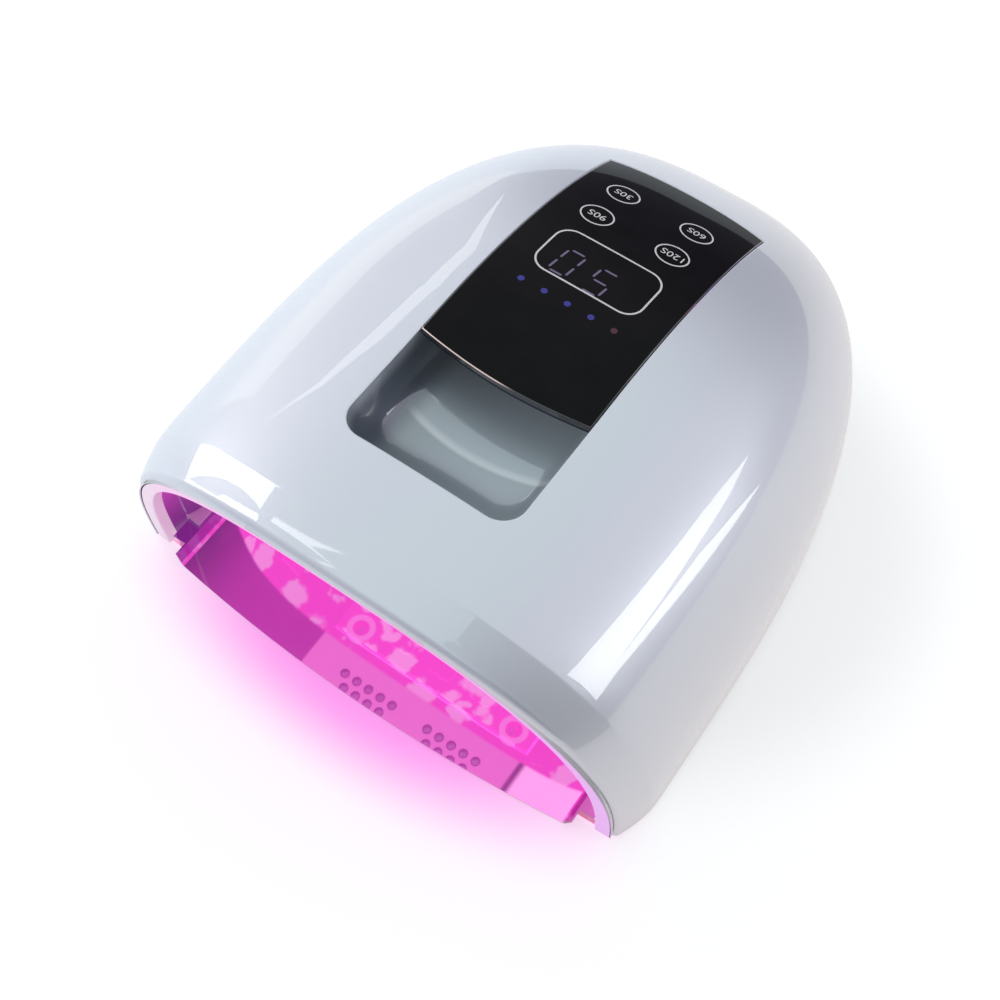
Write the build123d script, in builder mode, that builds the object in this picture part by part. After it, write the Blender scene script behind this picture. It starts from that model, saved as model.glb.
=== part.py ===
from build123d import *
import os
from math import atan2, cos, degrees, hypot, pi, radians, sin

# A cordless UV LED nail lamp: a glossy domed housing over a hand cavity, with a mirror base tray,
# a black touch panel that bridges a handle pocket, and the lamp's electronics between the skins.
# Millimetres, +Z up, front opening towards -Y, origin on the ground at the centre of the footprint.
# "depth" is the distance behind the front opening, measured along +Y at ground level.

# Housing dome
HALF_WIDTH = 101.2
TOP_HEIGHT = 97.3
DOME_LENGTH = 237.0
RIM_HALF_WIDTH = 97.5
RIM_HEIGHT = 99.4
WIDEST_DEPTH = 20.0
CROWN_DEPTH = 84.0
PLAN_POWER = 3.35
SIDE_POWER = 1.98
RIM_ROUNDNESS = 2.54
BODY_ROUNDNESS = 2.94
LEAN = -0.11
LEAN_FADE = 60.0
BOW = 3.0
FRONT_Y = -110.8
SHELL_WALL = 2.6
GROUND_GAP = 1.5

# Front opening
OPENING_HALF_WIDTH = 95.0
OPENING_HEIGHT = 93.3
RIM_PROUD = 1.5
LIP_DEPTH = 5.0
BEZEL_GAP = 0.25
BEZEL_DEPTH = 9.0

# Hand cavity, the inner face of the liner
CAVITY_HALF_WIDTH = 85.0
CAVITY_HEIGHT = 74.0
CAVITY_DEPTH = 179.3
CAVITY_ROUNDNESS = 4.0
LINER_WALL = 2.0
LINER_FOOT = 8.4

# Touch panel and handle pocket
PANEL_HALF_WIDTH = 31.2
PANEL_FRONT = 70.3
PANEL_BACK = 183.5
PANEL_FRONT_BOW = 3.5
PANEL_BACK_BOW = 2.8
PANEL_THICKNESS = 2.0
CARRIER_THICKNESS = 1.6
PANEL_GAP = 0.15
POCKET_HALF_WIDTH = 31.35
POCKET_FRONT = 27.2
POCKET_BACK = 98.0
POCKET_FLOOR = 79.8
POCKET_CORNER = 8.5
TUB_WALL = 2.2

# Base frame and mirror tray
FRAME_BOTTOM = 1.8
FRAME_PLATE = 2.0
FRAME_STEP = 6.6
FRAME_FLANGE = 1.6
FRAME_WALL_OUT = 90.2
FRAME_WALL_IN = 88.6
FRAME_OPENING = 83.0
FRAME_BACK = 185.6
TRAY_SHEET = 0.8
TRAY_FLOOR = 0.5
TRAY_BEND_IN = 80.0
TRAY_BEND_OUT = 82.6
TRAY_FLANGE_EDGE = 87.8
TRAY_FLANGE = 5.6
TRAY_BACK = 172.0
TRAY_NOSE = 7.25

# Light engine
LED_PITCH = 19.0
LED_FIRST_DEPTH = 41.0
LED_ROWS = 5
LED_SIDE = 5.0
BOARD_Z = 76.0
BOARD_THICKNESS = 1.2
LENS_TOP = 71.3
LENS_THICKNESS = 1.5
BOSS_X = 36.0
BOSS_DEPTHS = (34.0, 126.0)
SIDE_LED_DEPTHS = (44.0, 60.0, 76.0, 92.0)

os.makedirs("parts", exist_ok=True)


def at(depth):
    """The Y of a depth behind the front opening."""
    return FRONT_Y + depth


def fade(start, end, power):
    """1 at start, falling to 0 at end as a rounded nose."""
    return lambda depth: (1 - max(0.0, (depth - start) / (end - start)) ** power) ** 0.5


def arch_points(half_width, height, roundness, count=14):
    """Points of a superellipse arch from the right foot over the top to the left foot."""
    points = []
    for step in range(count + 1):
        angle = pi * step / count
        across = abs(cos(angle)) ** (2 / roundness) * half_width
        points.append((across if step * 2 < count else -across, height * sin(angle) ** (2 / roundness)))
    return points


def arch_face(depth, half_width, height, roundness, lean=0.0):
    """A D-shaped section that stands on the ground line, tipped forward by lean."""
    plane = Plane(origin=(0, at(depth), 0), x_dir=(1, 0, 0), z_dir=(0, -1, lean))
    points = arch_points(half_width, height * hypot(1, lean), roundness)
    with BuildSketch(plane) as section:
        with BuildLine():
            Spline(*points, tangents=[(0, 1), (0, -1)])
            Line(points[-1], points[0])
        make_face()
    return section.sketch.face()


def dome(inset):
    """The housing's outer form, drawn in by inset all round."""
    length = DOME_LENGTH - inset
    half_width_at = fade(WIDEST_DEPTH, length, PLAN_POWER)
    height_at = fade(CROWN_DEPTH, length, SIDE_POWER)
    tail = 95.0
    depths = [-6, 6, 20, 40, 65, tail]
    depths += [tail + (length - tail) * sin(radians(angle)) for angle in (15, 28, 40, 50, 59, 67, 74, 80, 84.5, 87.8)]
    faces = []
    for depth in depths:
        if depth < WIDEST_DEPTH:
            half_width = HALF_WIDTH - (HALF_WIDTH - RIM_HALF_WIDTH) * (1 - depth / WIDEST_DEPTH) ** 2
        else:
            half_width = HALF_WIDTH * half_width_at(depth)
        rise = (RIM_HEIGHT - TOP_HEIGHT) * max(0.0, 1 - depth / CROWN_DEPTH) ** 2
        height = TOP_HEIGHT * height_at(depth) + rise
        blend = min(1.0, max(0.0, depth / LEAN_FADE))
        roundness = RIM_ROUNDNESS + (BODY_ROUNDNESS - RIM_ROUNDNESS) * blend
        scale_w = 1 - inset / HALF_WIDTH
        scale_h = 1 - inset / TOP_HEIGHT
        lean = LEAN * max(0.0, 1 - depth / LEAN_FADE)
        faces.append(arch_face(depth, half_width * scale_w, height * scale_h, roundness, lean))
    with BuildPart() as form:
        loft([*faces, Vertex(0, at(length), 0)])
    return form.part


def cavity(grow):
    """The hand cavity's form, grown by the liner's wall where grow is set."""
    length = CAVITY_DEPTH + grow
    half_width_at = fade(70, length, 3.2)
    height_at = fade(90, length, 3.0)
    faces = [
        arch_face(BEZEL_DEPTH + 0.2, 88.3 + grow, 84.5 + grow, 2.8, -0.10),
        arch_face(14, 86.4 + grow, 76.6 + grow, 3.2, -0.06),
        arch_face(20, 85.2 + grow, 74.5 + grow, 3.6, -0.03),
        arch_face(30, 85.0 + grow, 74.0 + grow, 3.9),
    ]
    tail = 60.0
    for angle in (0, 16, 31, 45, 57, 67, 76, 83, 87.5):
        depth = tail + (length - tail) * sin(radians(angle))
        half_width = (CAVITY_HALF_WIDTH + grow) * half_width_at(depth)
        height = (CAVITY_HEIGHT + grow) * height_at(depth)
        faces.append(arch_face(depth, half_width, height, CAVITY_ROUNDNESS))
    with BuildPart() as form:
        loft([*faces, Vertex(0, at(length), 0)])
    return form.part


def ahead_of_front(offset, reach=60.0):
    """Everything in front of the bowed, leaning front face, moved back by offset."""
    half = 112.0

    def front_line(x):
        return at(offset) - BOW * (1 - (x / OPENING_HALF_WIDTH) ** 2)

    with BuildPart() as block:
        with BuildSketch(Plane.XY.offset(-1)):
            with BuildLine():
                ThreePointArc((-half, front_line(half)), (0, front_line(0)), (half, front_line(half)))
                Polyline(
                    (half, front_line(half)),
                    (half, at(offset) - reach),
                    (-half, at(offset) - reach),
                    (-half, front_line(half)),
                )
            make_face()
        extrude(amount=125, dir=(0, LEAN, 1))
    return block.part


def opening_prism(half_width, height, start, end):
    """A straight prism of the opening's arch between two depths."""
    with BuildPart() as block:
        add(arch_face(start, half_width, height, RIM_ROUNDNESS))
        extrude(amount=end - start, dir=(0, 1, 0))
    return block.part


def slab(low, high):
    """A layer of space between two heights, wider than the lamp."""
    with BuildPart() as block:
        with BuildSketch(Plane.XY.offset(low)):
            Rectangle(320, 360)
        extrude(amount=high - low)
    return block.part


def plan_prism(half_width, back, low, high, front=-30.0):
    """A D-shaped prism: straight sides and a rounded back, as the cavity has in plan."""
    start = 70.0
    side = []
    count = 10
    for step in range(count + 1):
        angle = pi / 2 * step / count
        side.append((half_width * cos(angle), at(start + (back - start) * sin(angle) ** (2 / 3.2))))
    left = [(-x, y) for x, y in reversed(side[:-1])]
    with BuildPart() as block:
        with BuildSketch(Plane.XY.offset(low)):
            with BuildLine():
                Spline(*side, *left, tangents=[(0, 1), (0, -1)])
                Polyline(left[-1], (-half_width, at(front)), (half_width, at(front)), side[0])
            make_face()
        extrude(amount=high - low)
    return block.part


def panel_prism(grow, low=55.0, high=112.0):
    """The touch panel's plan, with its bowed front and back edges, as an upright prism."""
    edge = PANEL_HALF_WIDTH + grow
    front, back = at(PANEL_FRONT - grow), at(PANEL_BACK + grow)
    with BuildPart() as block:
        with BuildSketch(Plane.XY.offset(low)):
            with BuildLine():
                ThreePointArc((-edge, front), (0, front - PANEL_FRONT_BOW), (edge, front))
                Line((edge, front), (edge, back))
                ThreePointArc((edge, back), (0, back + PANEL_BACK_BOW), (-edge, back))
                Line((-edge, back), (-edge, front))
            make_face()
        extrude(amount=high - low)
    return block.part


def box_between(low, high):
    """A box between two corners given as (x, depth, z)."""
    with BuildPart() as block:
        with BuildSketch(Plane.XY.offset(low[2])):
            with Locations(((low[0] + high[0]) / 2, at((low[1] + high[1]) / 2))):
                Rectangle(high[0] - low[0], high[1] - low[1])
        extrude(amount=high[2] - low[2])
    return block.part


def posts(spots, radius, low, high):
    """Upright round posts at (x, depth) spots."""
    with BuildPart() as group:
        with BuildSketch(Plane.XY.offset(low)):
            with Locations([(x, at(depth)) for x, depth in spots]):
                Circle(radius)
        extrude(amount=high - low)
    return group.part


def barrel(x, z, radius, start, end):
    """A round bar along Y between two depths."""
    with BuildPart() as bar:
        with BuildSketch(Plane(origin=(x, at(start), z), x_dir=(1, 0, 0), z_dir=(0, 1, 0))):
            Circle(radius)
        extrude(amount=end - start)
    return bar.part


def write(piece, name):
    piece.part.label = name
    export_step(piece.part, f"parts/{name}.step")


# Forms that several pieces share
outer_form = dome(0)
inner_form = dome(SHELL_WALL)
panel_underside = dome(PANEL_THICKNESS)
carrier_underside = dome(PANEL_THICKNESS + CARRIER_THICKNESS)
seat_underside = dome(PANEL_THICKNESS + CARRIER_THICKNESS + TUB_WALL + 0.2)
seat_form = dome(PANEL_THICKNESS + CARRIER_THICKNESS + 0.1)

# Handle pocket: a tub whose walls roll into its floor, deeper and longer rolled at the front
pocket_sections = []
POCKET_TOP = 97.0
for angle in (0, 18, 36, 52, 66, 78, 90):
    roll = 1 - cos(radians(angle))
    side = POCKET_HALF_WIDTH - 8.0 * roll
    front = POCKET_FRONT + 18.0 * roll
    back = POCKET_BACK - 8.0 * roll
    height = POCKET_TOP - (POCKET_TOP - POCKET_FLOOR) * sin(radians(angle))
    with BuildSketch(Plane.XY.offset(height)) as pocket_section:
        with Locations((0, at((front + back) / 2))):
            RectangleRounded(2 * side, back - front, POCKET_CORNER)
    pocket_sections.append(pocket_section.sketch.face())
with BuildPart() as pocket:
    loft(pocket_sections)
    with BuildSketch(Plane.XY.offset(POCKET_TOP)):
        with Locations((0, at((POCKET_FRONT + POCKET_BACK) / 2))):
            RectangleRounded(2 * POCKET_HALF_WIDTH, POCKET_BACK - POCKET_FRONT, POCKET_CORNER)
    extrude(amount=8)

# Upper shell: the pearl housing with its front lip, pocket tub, panel seat and rear port recess
TUB_EDGE = POCKET_HALF_WIDTH + TUB_WALL + 0.4
SERVICE_FRONT = POCKET_BACK + 3.0
PORT_WALL = 223.0
PORT_Z = 31.5
PORT_X = 10.0
with BuildPart() as core:
    with BuildSketch(Plane.XY.offset(POCKET_FLOOR - TUB_WALL)):
        with Locations((0, at((POCKET_FRONT + SERVICE_FRONT - TUB_WALL) / 2))):
            RectangleRounded(2 * TUB_EDGE, SERVICE_FRONT - POCKET_FRONT + TUB_WALL, POCKET_CORNER + TUB_WALL)
    extrude(amount=30)
    add(box_between((-TUB_EDGE, POCKET_BACK - 8, 85), (TUB_EDGE, SERVICE_FRONT, 110)))
with BuildPart() as seat_block:
    add(box_between((-TUB_EDGE, SERVICE_FRONT - 1, 60), (TUB_EDGE, 189, 110)))
    add(seat_underside, mode=Mode.SUBTRACT)
with BuildPart() as hollow:
    add(inner_form)
    add(ahead_of_front(LIP_DEPTH), mode=Mode.SUBTRACT)
    add(core.part, mode=Mode.SUBTRACT)
    add(seat_block.part, mode=Mode.SUBTRACT)
    add(box_between((-22.6, 218, 23.0), (22.6, 245, 40.0)), mode=Mode.SUBTRACT)
with BuildPart() as panel_seat:
    add(panel_prism(PANEL_GAP))
    add(seat_form, mode=Mode.SUBTRACT)



def strip_x(depth):
    """The middle of the base frame's strip between its inner wall and the shell."""
    outer = HALF_WIDTH * fade(WIDEST_DEPTH, DOME_LENGTH, PLAN_POWER)(depth) - SHELL_WALL
    inner = FRAME_WALL_OUT * fade(70, FRAME_BACK, 3.2)(depth)
    return (outer + inner) / 2


SCREW_SPOTS = [(side * strip_x(depth), depth) for side in (-1, 1) for depth in (32, 104)]
SCREW_SPOTS += [(side * 50.0, 200) for side in (-1, 1)]
with BuildPart() as upper_shell:
    add(outer_form)
    add(ahead_of_front(-RIM_PROUD), mode=Mode.SUBTRACT)
    add(hollow.part, mode=Mode.SUBTRACT)
    add(opening_prism(OPENING_HALF_WIDTH, OPENING_HEIGHT, -30, 12), mode=Mode.SUBTRACT)
    add(pocket.part, mode=Mode.SUBTRACT)
    add(panel_seat.part, mode=Mode.SUBTRACT)
    add(box_between((-27.5, SERVICE_FRONT, 60), (27.5, 181, 110)), mode=Mode.SUBTRACT)
    add(box_between((-20, PORT_WALL, 26), (20, 245, 37)), mode=Mode.SUBTRACT)
    add(box_between((-20, 205, 26), (20, PORT_WALL - 2, 37)), mode=Mode.SUBTRACT)
    add(barrel(-PORT_X, PORT_Z, 4.1, 215, 230), mode=Mode.SUBTRACT)
    add(barrel(PORT_X, PORT_Z, 3.8, 215, 230), mode=Mode.SUBTRACT)
    add(slab(-5, GROUND_GAP), mode=Mode.SUBTRACT)
with BuildPart() as screw_ribs:
    for x, depth in SCREW_SPOTS:
        outward = 1 if x > 0 else -1
        reach = 99.6 * outward if abs(x) > 60 else 66.0 * outward
        add(box_between((min(x, reach), depth - 1, 5), (max(x, reach), depth + 1, 22)))
    add(posts(SCREW_SPOTS, 3.0, 4.0, 24.0))
    add(outer_form, mode=Mode.INTERSECT)
    add(posts(SCREW_SPOTS, 1.0, 0.0, 20.0), mode=Mode.SUBTRACT)
with BuildPart() as finished_shell:
    add(upper_shell.part)
    add(screw_ribs.part)
write(finished_shell, "upper_shell")

# Front bezel: the pale ring inside the rim, its inner flank running back to the liner
with BuildPart() as bezel_bore:
    loft(
        [
            arch_face(-9.0, 89.8, 93.2, RIM_ROUNDNESS, LEAN),
            arch_face(BEZEL_DEPTH + 1.0, 88.3, 84.2, 2.8, LEAN),
        ],
        ruled=True,
    )
with BuildPart() as front_bezel:
    add(opening_prism(OPENING_HALF_WIDTH - BEZEL_GAP, OPENING_HEIGHT - BEZEL_GAP, -30, 30))
    add(ahead_of_front(0), mode=Mode.SUBTRACT)
    add(ahead_of_front(BEZEL_DEPTH, reach=90), mode=Mode.INTERSECT)
    add(bezel_bore.part, mode=Mode.SUBTRACT)
    add(slab(-5, GROUND_GAP), mode=Mode.SUBTRACT)
write(front_bezel, "front_bezel")

# Inner liner: the reflector that forms the hand cavity's ceiling and walls
VENT_PITCH = 5.67
VENT_SPOTS = []
for side in (-1, 1):
    VENT_SPOTS += [(side * (8.4 + VENT_PITCH * step), 17.3) for step in range(5)]
    VENT_SPOTS += [(side * (11.2 + VENT_PITCH * step), 12.4) for step in range(4)]
MAIN_BOARD_SPOTS = [(40.0, 63.0), (40.0, 105.0), (59.0, 63.0), (59.0, 105.0)]
FAN_X = -48.2
FAN_DEPTH = 79.0
FAN_SIDE = 28.0
FAN_Z = 78.0
FAN_SPOTS = [(FAN_X + a * 12, FAN_DEPTH + b * 12) for a in (-1, 1) for b in (-1, 1)]
SIDE_TILT = 45.0
SIDE_X = 74.7
SIDE_Z = 62.4


def side_plane(side, offset):
    """The plane of a side LED board: centred on the liner's shoulder, its normal up and outward."""
    normal = Vector(side * sin(radians(SIDE_TILT)), 0, cos(radians(SIDE_TILT)))
    origin = Vector(side * SIDE_X, 0, SIDE_Z) + normal * offset
    return Plane(origin=origin, x_dir=(0, 1, 0), z_dir=normal)


def side_blocks(side, offset, length, width, thickness, depths):
    """Blocks laid on a side LED board's plane, one at each depth."""
    with BuildPart() as group:
        with BuildSketch(side_plane(side, offset)):
            with Locations([(at(depth), 0) for depth in depths]):
                Rectangle(length, width)
        extrude(amount=thickness)
    return group.part


def liner_top(x):
    """Height of the liner's outer face across its flat middle."""
    across = (abs(x) / (CAVITY_HALF_WIDTH + LINER_WALL)) ** CAVITY_ROUNDNESS
    return (CAVITY_HEIGHT + LINER_WALL) * (1 - across) ** (1 / CAVITY_ROUNDNESS)


with BuildPart() as inner_liner:
    add(cavity(LINER_WALL))
    add(cavity(0), mode=Mode.SUBTRACT)
    add(slab(-5, LINER_FOOT), mode=Mode.SUBTRACT)
    for spot in MAIN_BOARD_SPOTS + FAN_SPOTS:
        add(posts([spot], 2.2, liner_top(spot[0]) - 1.2, FAN_Z))
    add(posts(VENT_SPOTS, 1.5, 60, 95), mode=Mode.SUBTRACT)
    add(box_between((-46, 30, 60), (46, 130, 90)), mode=Mode.SUBTRACT)
    for side in (-1, 1):
        add(side_blocks(side, -6, 6.4, 6.4, 8, SIDE_LED_DEPTHS), mode=Mode.SUBTRACT)
    with Locations(Plane.YZ.offset(-110)):
        with Locations((at(60), 25)):
            Cylinder(2.7, 220, align=(Align.CENTER, Align.CENTER, Align.MIN), mode=Mode.SUBTRACT)
write(inner_liner, "inner_liner")

# Base frame: closes the bottom between shell and liner, with a raised flange over the tray's edges
with BuildPart() as base_frame:
    add(dome(SHELL_WALL + 0.3))
    add(slab(FRAME_BOTTOM, FRAME_BOTTOM + FRAME_PLATE), mode=Mode.INTERSECT)
    add(plan_prism(FRAME_WALL_OUT, FRAME_BACK, FRAME_BOTTOM, FRAME_STEP + FRAME_FLANGE))
    add(plan_prism(FRAME_WALL_IN, FRAME_BACK - 1.6, FRAME_BOTTOM - 1, FRAME_STEP), mode=Mode.SUBTRACT)
    add(plan_prism(FRAME_OPENING, FRAME_BACK - 8, FRAME_STEP - 1, FRAME_STEP + 5), mode=Mode.SUBTRACT)
    add(ahead_of_front(BEZEL_DEPTH + 0.2), mode=Mode.SUBTRACT)
    for spot in SCREW_SPOTS:
        add(posts([spot], 1.4, 0, 6), mode=Mode.SUBTRACT)
        add(posts([spot], 2.6, 0, FRAME_BOTTOM + 1.0), mode=Mode.SUBTRACT)
    MAGNET_SPOTS = [(side * 85.9, depth) for side in (-1, 1) for depth in (25, 90)]
    add(posts(MAGNET_SPOTS, 2.5, FRAME_STEP - 1, FRAME_STEP + 1.2), mode=Mode.SUBTRACT)
write(base_frame, "base_frame")

with BuildPart() as tray_magnets:
    add(posts(MAGNET_SPOTS, 2.45, FRAME_STEP, FRAME_STEP + 1.2))
write(tray_magnets, "tray_magnets")

with BuildPart() as base_screws:
    add(posts(SCREW_SPOTS, 0.98, 2.0, 16.0))
    add(posts(SCREW_SPOTS, 2.3, 1.9, FRAME_BOTTOM + 1.0))
write(base_screws, "base_screws")

FOOT_SPOTS = [(side * strip_x(depth), depth) for side in (-1, 1) for depth in (20, 118)]
FOOT_SPOTS += [(side * 22.0, 212) for side in (-1, 1)]
with BuildPart() as rubber_feet:
    add(posts(FOOT_SPOTS, 3.2, 0, FRAME_BOTTOM))
    chamfer(rubber_feet.edges().group_by(Axis.Z)[0], 0.3)
write(rubber_feet, "rubber_feet")

# Mirror base tray: polished steel sheet, its sides bent up into flat flanges under the frame
with BuildPart() as base_tray:
    with BuildSketch(Plane.XZ.offset(-at(TRAY_BACK))):
        with BuildLine():
            profile = [
                (TRAY_FLANGE_EDGE, TRAY_FLANGE + TRAY_SHEET),
                (TRAY_FLANGE_EDGE, TRAY_FLANGE),
                (TRAY_BEND_OUT, TRAY_FLANGE),
                (TRAY_BEND_IN, TRAY_FLOOR),
            ]
            inner = [
                (TRAY_BEND_IN - 0.6, TRAY_FLOOR + TRAY_SHEET),
                (TRAY_BEND_OUT - 0.6, TRAY_FLANGE + TRAY_SHEET),
            ]
            left = [(-x, z) for x, z in reversed(profile)]
            left_inner = [(-x, z) for x, z in reversed(inner)]
            Polyline(*profile, *left, *left_inner, *inner, close=True)
        make_face()
    extrude(amount=TRAY_BACK + 14)
    add(plan_prism(TRAY_FLANGE_EDGE + 1, TRAY_BACK, -1, 10), mode=Mode.INTERSECT)
    with BuildSketch(Plane.XY.offset(-1)):
        with BuildLine():
            nose_edge = TRAY_BEND_OUT
            nose_y = at(-3.6 - TRAY_NOSE * (1 - (nose_edge / OPENING_HALF_WIDTH) ** 2))
            ThreePointArc((-nose_edge, nose_y), (0, at(-3.6 - TRAY_NOSE)), (nose_edge, nose_y))
            Polyline(
                (nose_edge, nose_y),
                (nose_edge, at(-0.4)),
                (100, at(-0.4)),
                (100, at(-30)),
                (-100, at(-30)),
                (-100, at(-0.4)),
                (-nose_edge, at(-0.4)),
                (-nose_edge, nose_y),
            )
        make_face()
    extrude(amount=12, mode=Mode.SUBTRACT)
write(base_tray, "base_tray")

# Touch panel: black acrylic that follows the dome, over its carrier
with BuildPart() as touch_panel:
    add(panel_prism(0))
    add(outer_form, mode=Mode.INTERSECT)
    add(panel_underside, mode=Mode.SUBTRACT)
write(touch_panel, "touch_panel")

KEY_X = 14.5
KEY_DEPTHS = (146.7, 164.2)
KEY_SPOTS = [(side * KEY_X, depth) for depth in KEY_DEPTHS for side in (-1, 1)]
LEVEL_PITCH = 8.75
LEVEL_DEPTH = 104.6
LEVEL_SPOTS = [((step - 2) * LEVEL_PITCH, LEVEL_DEPTH) for step in range(5)]
with BuildPart() as panel_carrier:
    add(panel_prism(-0.3))
    add(panel_underside, mode=Mode.INTERSECT)
    add(carrier_underside, mode=Mode.SUBTRACT)
    add(box_between((-15.5, 113.5, 60), (15.5, 132.5, 110)), mode=Mode.SUBTRACT)
    add(posts(KEY_SPOTS, 4.6, 60, 110), mode=Mode.SUBTRACT)
    add(posts(LEVEL_SPOTS, 1.5, 60, 110), mode=Mode.SUBTRACT)
write(panel_carrier, "panel_carrier")

# Touch board: lies on a slope under the curved panel and carries the display and the key pads
BOARD_FRONT = (102.5, 90.6)
BOARD_REAR = (176.0, 71.5)
BOARD_SLOPE = degrees(atan2(BOARD_FRONT[1] - BOARD_REAR[1], BOARD_REAR[0] - BOARD_FRONT[0]))
BOARD_LENGTH = hypot(BOARD_REAR[0] - BOARD_FRONT[0], BOARD_FRONT[1] - BOARD_REAR[1])


def touch_board_plane(depth, rise=0.0):
    """The touch board's top face below a depth, raised along its own normal."""
    share = (depth - BOARD_FRONT[0]) / (BOARD_REAR[0] - BOARD_FRONT[0])
    height = BOARD_FRONT[1] + (BOARD_REAR[1] - BOARD_FRONT[1]) * share
    slope = radians(BOARD_SLOPE)
    normal = Vector(0, sin(slope), cos(slope))
    return Plane(origin=Vector(0, at(depth), height) + normal * rise, x_dir=(1, 0, 0), z_dir=normal)


with BuildPart() as touch_board:
    with BuildSketch(touch_board_plane((BOARD_FRONT[0] + BOARD_REAR[0]) / 2, -BOARD_THICKNESS)):
        RectangleRounded(52, BOARD_LENGTH, 2)
    extrude(amount=BOARD_THICKNESS)
write(touch_board, "touch_board")

with BuildPart() as digit_display:
    with BuildSketch(touch_board_plane(123)):
        Rectangle(27, 14)
    extrude(amount=4.0)
write(digit_display, "digit_display")


def level_lights(columns):
    """Small level lights on the touch board, at the given columns."""
    with BuildPart() as group:
        with BuildSketch(touch_board_plane(LEVEL_DEPTH)):
            with Locations([((column - 2) * LEVEL_PITCH, 0) for column in columns]):
                Rectangle(2.0, 1.6)
        extrude(amount=1.4)
    return group


write(level_lights((0, 1, 2, 3)), "level_leds_blue")
write(level_lights((4,)), "level_led_red")

with BuildPart() as touch_pads:
    add(posts(KEY_SPOTS, 4.0, 60, 110))
    add(dome(PANEL_THICKNESS + 0.1), mode=Mode.INTERSECT)
    with BuildSketch(touch_board_plane(BOARD_REAR[0])):
        Rectangle(80, 200)
    extrude(amount=-40, mode=Mode.SUBTRACT)
write(touch_pads, "touch_pads")

# Centre light engine: board, beads and the clear cover with its screw bosses
LED_SPOTS = []
for row in range(LED_ROWS):
    columns = (-1, 0, 1) if row == 0 else (-2, -1, 0, 1, 2)
    LED_SPOTS += [(column * LED_PITCH, LED_FIRST_DEPTH + row * LED_PITCH) for column in columns]
BOSS_SPOTS = [(side * BOSS_X, depth) for side in (-1, 1) for depth in BOSS_DEPTHS]
with BuildPart() as led_board_centre:
    add(box_between((-49, 27, BOARD_Z + 0.2), (49, 132, BOARD_Z + BOARD_THICKNESS)))
    add(posts(BOSS_SPOTS, 1.3, 70, 80), mode=Mode.SUBTRACT)
write(led_board_centre, "led_board_centre")

with BuildPart() as led_beads_centre:
    with BuildSketch(Plane.XY.offset(BOARD_Z - 1.2)):
        with Locations([(x, at(depth)) for x, depth in LED_SPOTS]):
            RectangleRounded(LED_SIDE, LED_SIDE, 0.4)
    extrude(amount=1.4)
    add(posts(LED_SPOTS, 1.7, BOARD_Z - 2.0, BOARD_Z - 1.0))
write(led_beads_centre, "led_beads_centre")

with BuildPart() as lens_cover_centre:
    add(box_between((-45.4, 30.5, LENS_TOP - LENS_THICKNESS), (45.4, 129.5, 73.6)))
    add(box_between((-44.2, 31.7, LENS_TOP), (44.2, 128.3, 80)), mode=Mode.SUBTRACT)
    add(posts(BOSS_SPOTS, 3.0, LENS_TOP - 1.0, BOARD_Z + 0.1))
    with BuildSketch(Plane.XY.offset(LENS_TOP - LENS_THICKNESS)):
        with Locations([(x, at(depth)) for x, depth in LED_SPOTS]):
            RectangleRounded(10, 10, 2)
    extrude(amount=-0.9)
    add(posts(BOSS_SPOTS, 2.4, LENS_TOP - LENS_THICKNESS - 1, LENS_TOP - 0.5), mode=Mode.SUBTRACT)
    add(posts(BOSS_SPOTS, 1.3, 60, 90), mode=Mode.SUBTRACT)
write(lens_cover_centre, "lens_cover_centre")

with BuildPart() as lens_screws:
    add(posts(BOSS_SPOTS, 2.1, LENS_TOP - 1.4, LENS_TOP - 0.5))
    add(posts(BOSS_SPOTS, 1.2, LENS_TOP - 0.6, BOARD_Z + 1.0))
write(lens_screws, "lens_screws")

# Side light engines, one on each shoulder of the liner
for side, name in ((-1, "left"), (1, "right")):
    middle = (SIDE_LED_DEPTHS[0] + SIDE_LED_DEPTHS[-1]) / 2
    with BuildPart() as led_board_side:
        add(side_blocks(side, 0.3, 64, 14, BOARD_THICKNESS, [middle]))
    write(led_board_side, f"led_board_{name}")
    with BuildPart() as led_beads_side:
        add(side_blocks(side, -1.1, LED_SIDE, LED_SIDE, 1.4, SIDE_LED_DEPTHS))
    write(led_beads_side, f"led_beads_{name}")
    with BuildPart() as lens_cover_side:
        add(side_blocks(side, -5.0, 64, 10, 1.2, [middle]))
        add(side_blocks(side, -5.6, 9, 8, 0.7, SIDE_LED_DEPTHS))
    write(lens_cover_side, f"lens_cover_{name}")

# Hand sensors: an emitter and a receiver facing each other across the cavity
with BuildPart() as hand_sensors:
    for side in (-1, 1):
        with BuildSketch(Plane.YZ.offset(side * 84.9)):
            with Locations((at(60), 25)):
                Circle(2.6)
        extrude(amount=side * 5.0)
write(hand_sensors, "hand_sensors")

# Main board with its parts
BOARD_BOX = ((37, 60, FAN_Z), (62, 108, FAN_Z + 1.6))
with BuildPart() as main_board:
    add(box_between(*BOARD_BOX))
write(main_board, "main_board")

with BuildPart() as main_board_parts:
    top = FAN_Z + 1.6
    add(posts([(43, 70)], 4.0, top, top + 5))
    add(posts([(43, 82), (43, 90)], 2.5, top, top + 6))
    add(box_between((40, 97, top), (47, 104, top + 4)))
    add(box_between((50, 66, top), (56, 74, top + 1.2)))
    add(box_between((50, 84, top), (55, 92, top + 1.2)))
write(main_board_parts, "main_board_parts")

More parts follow.
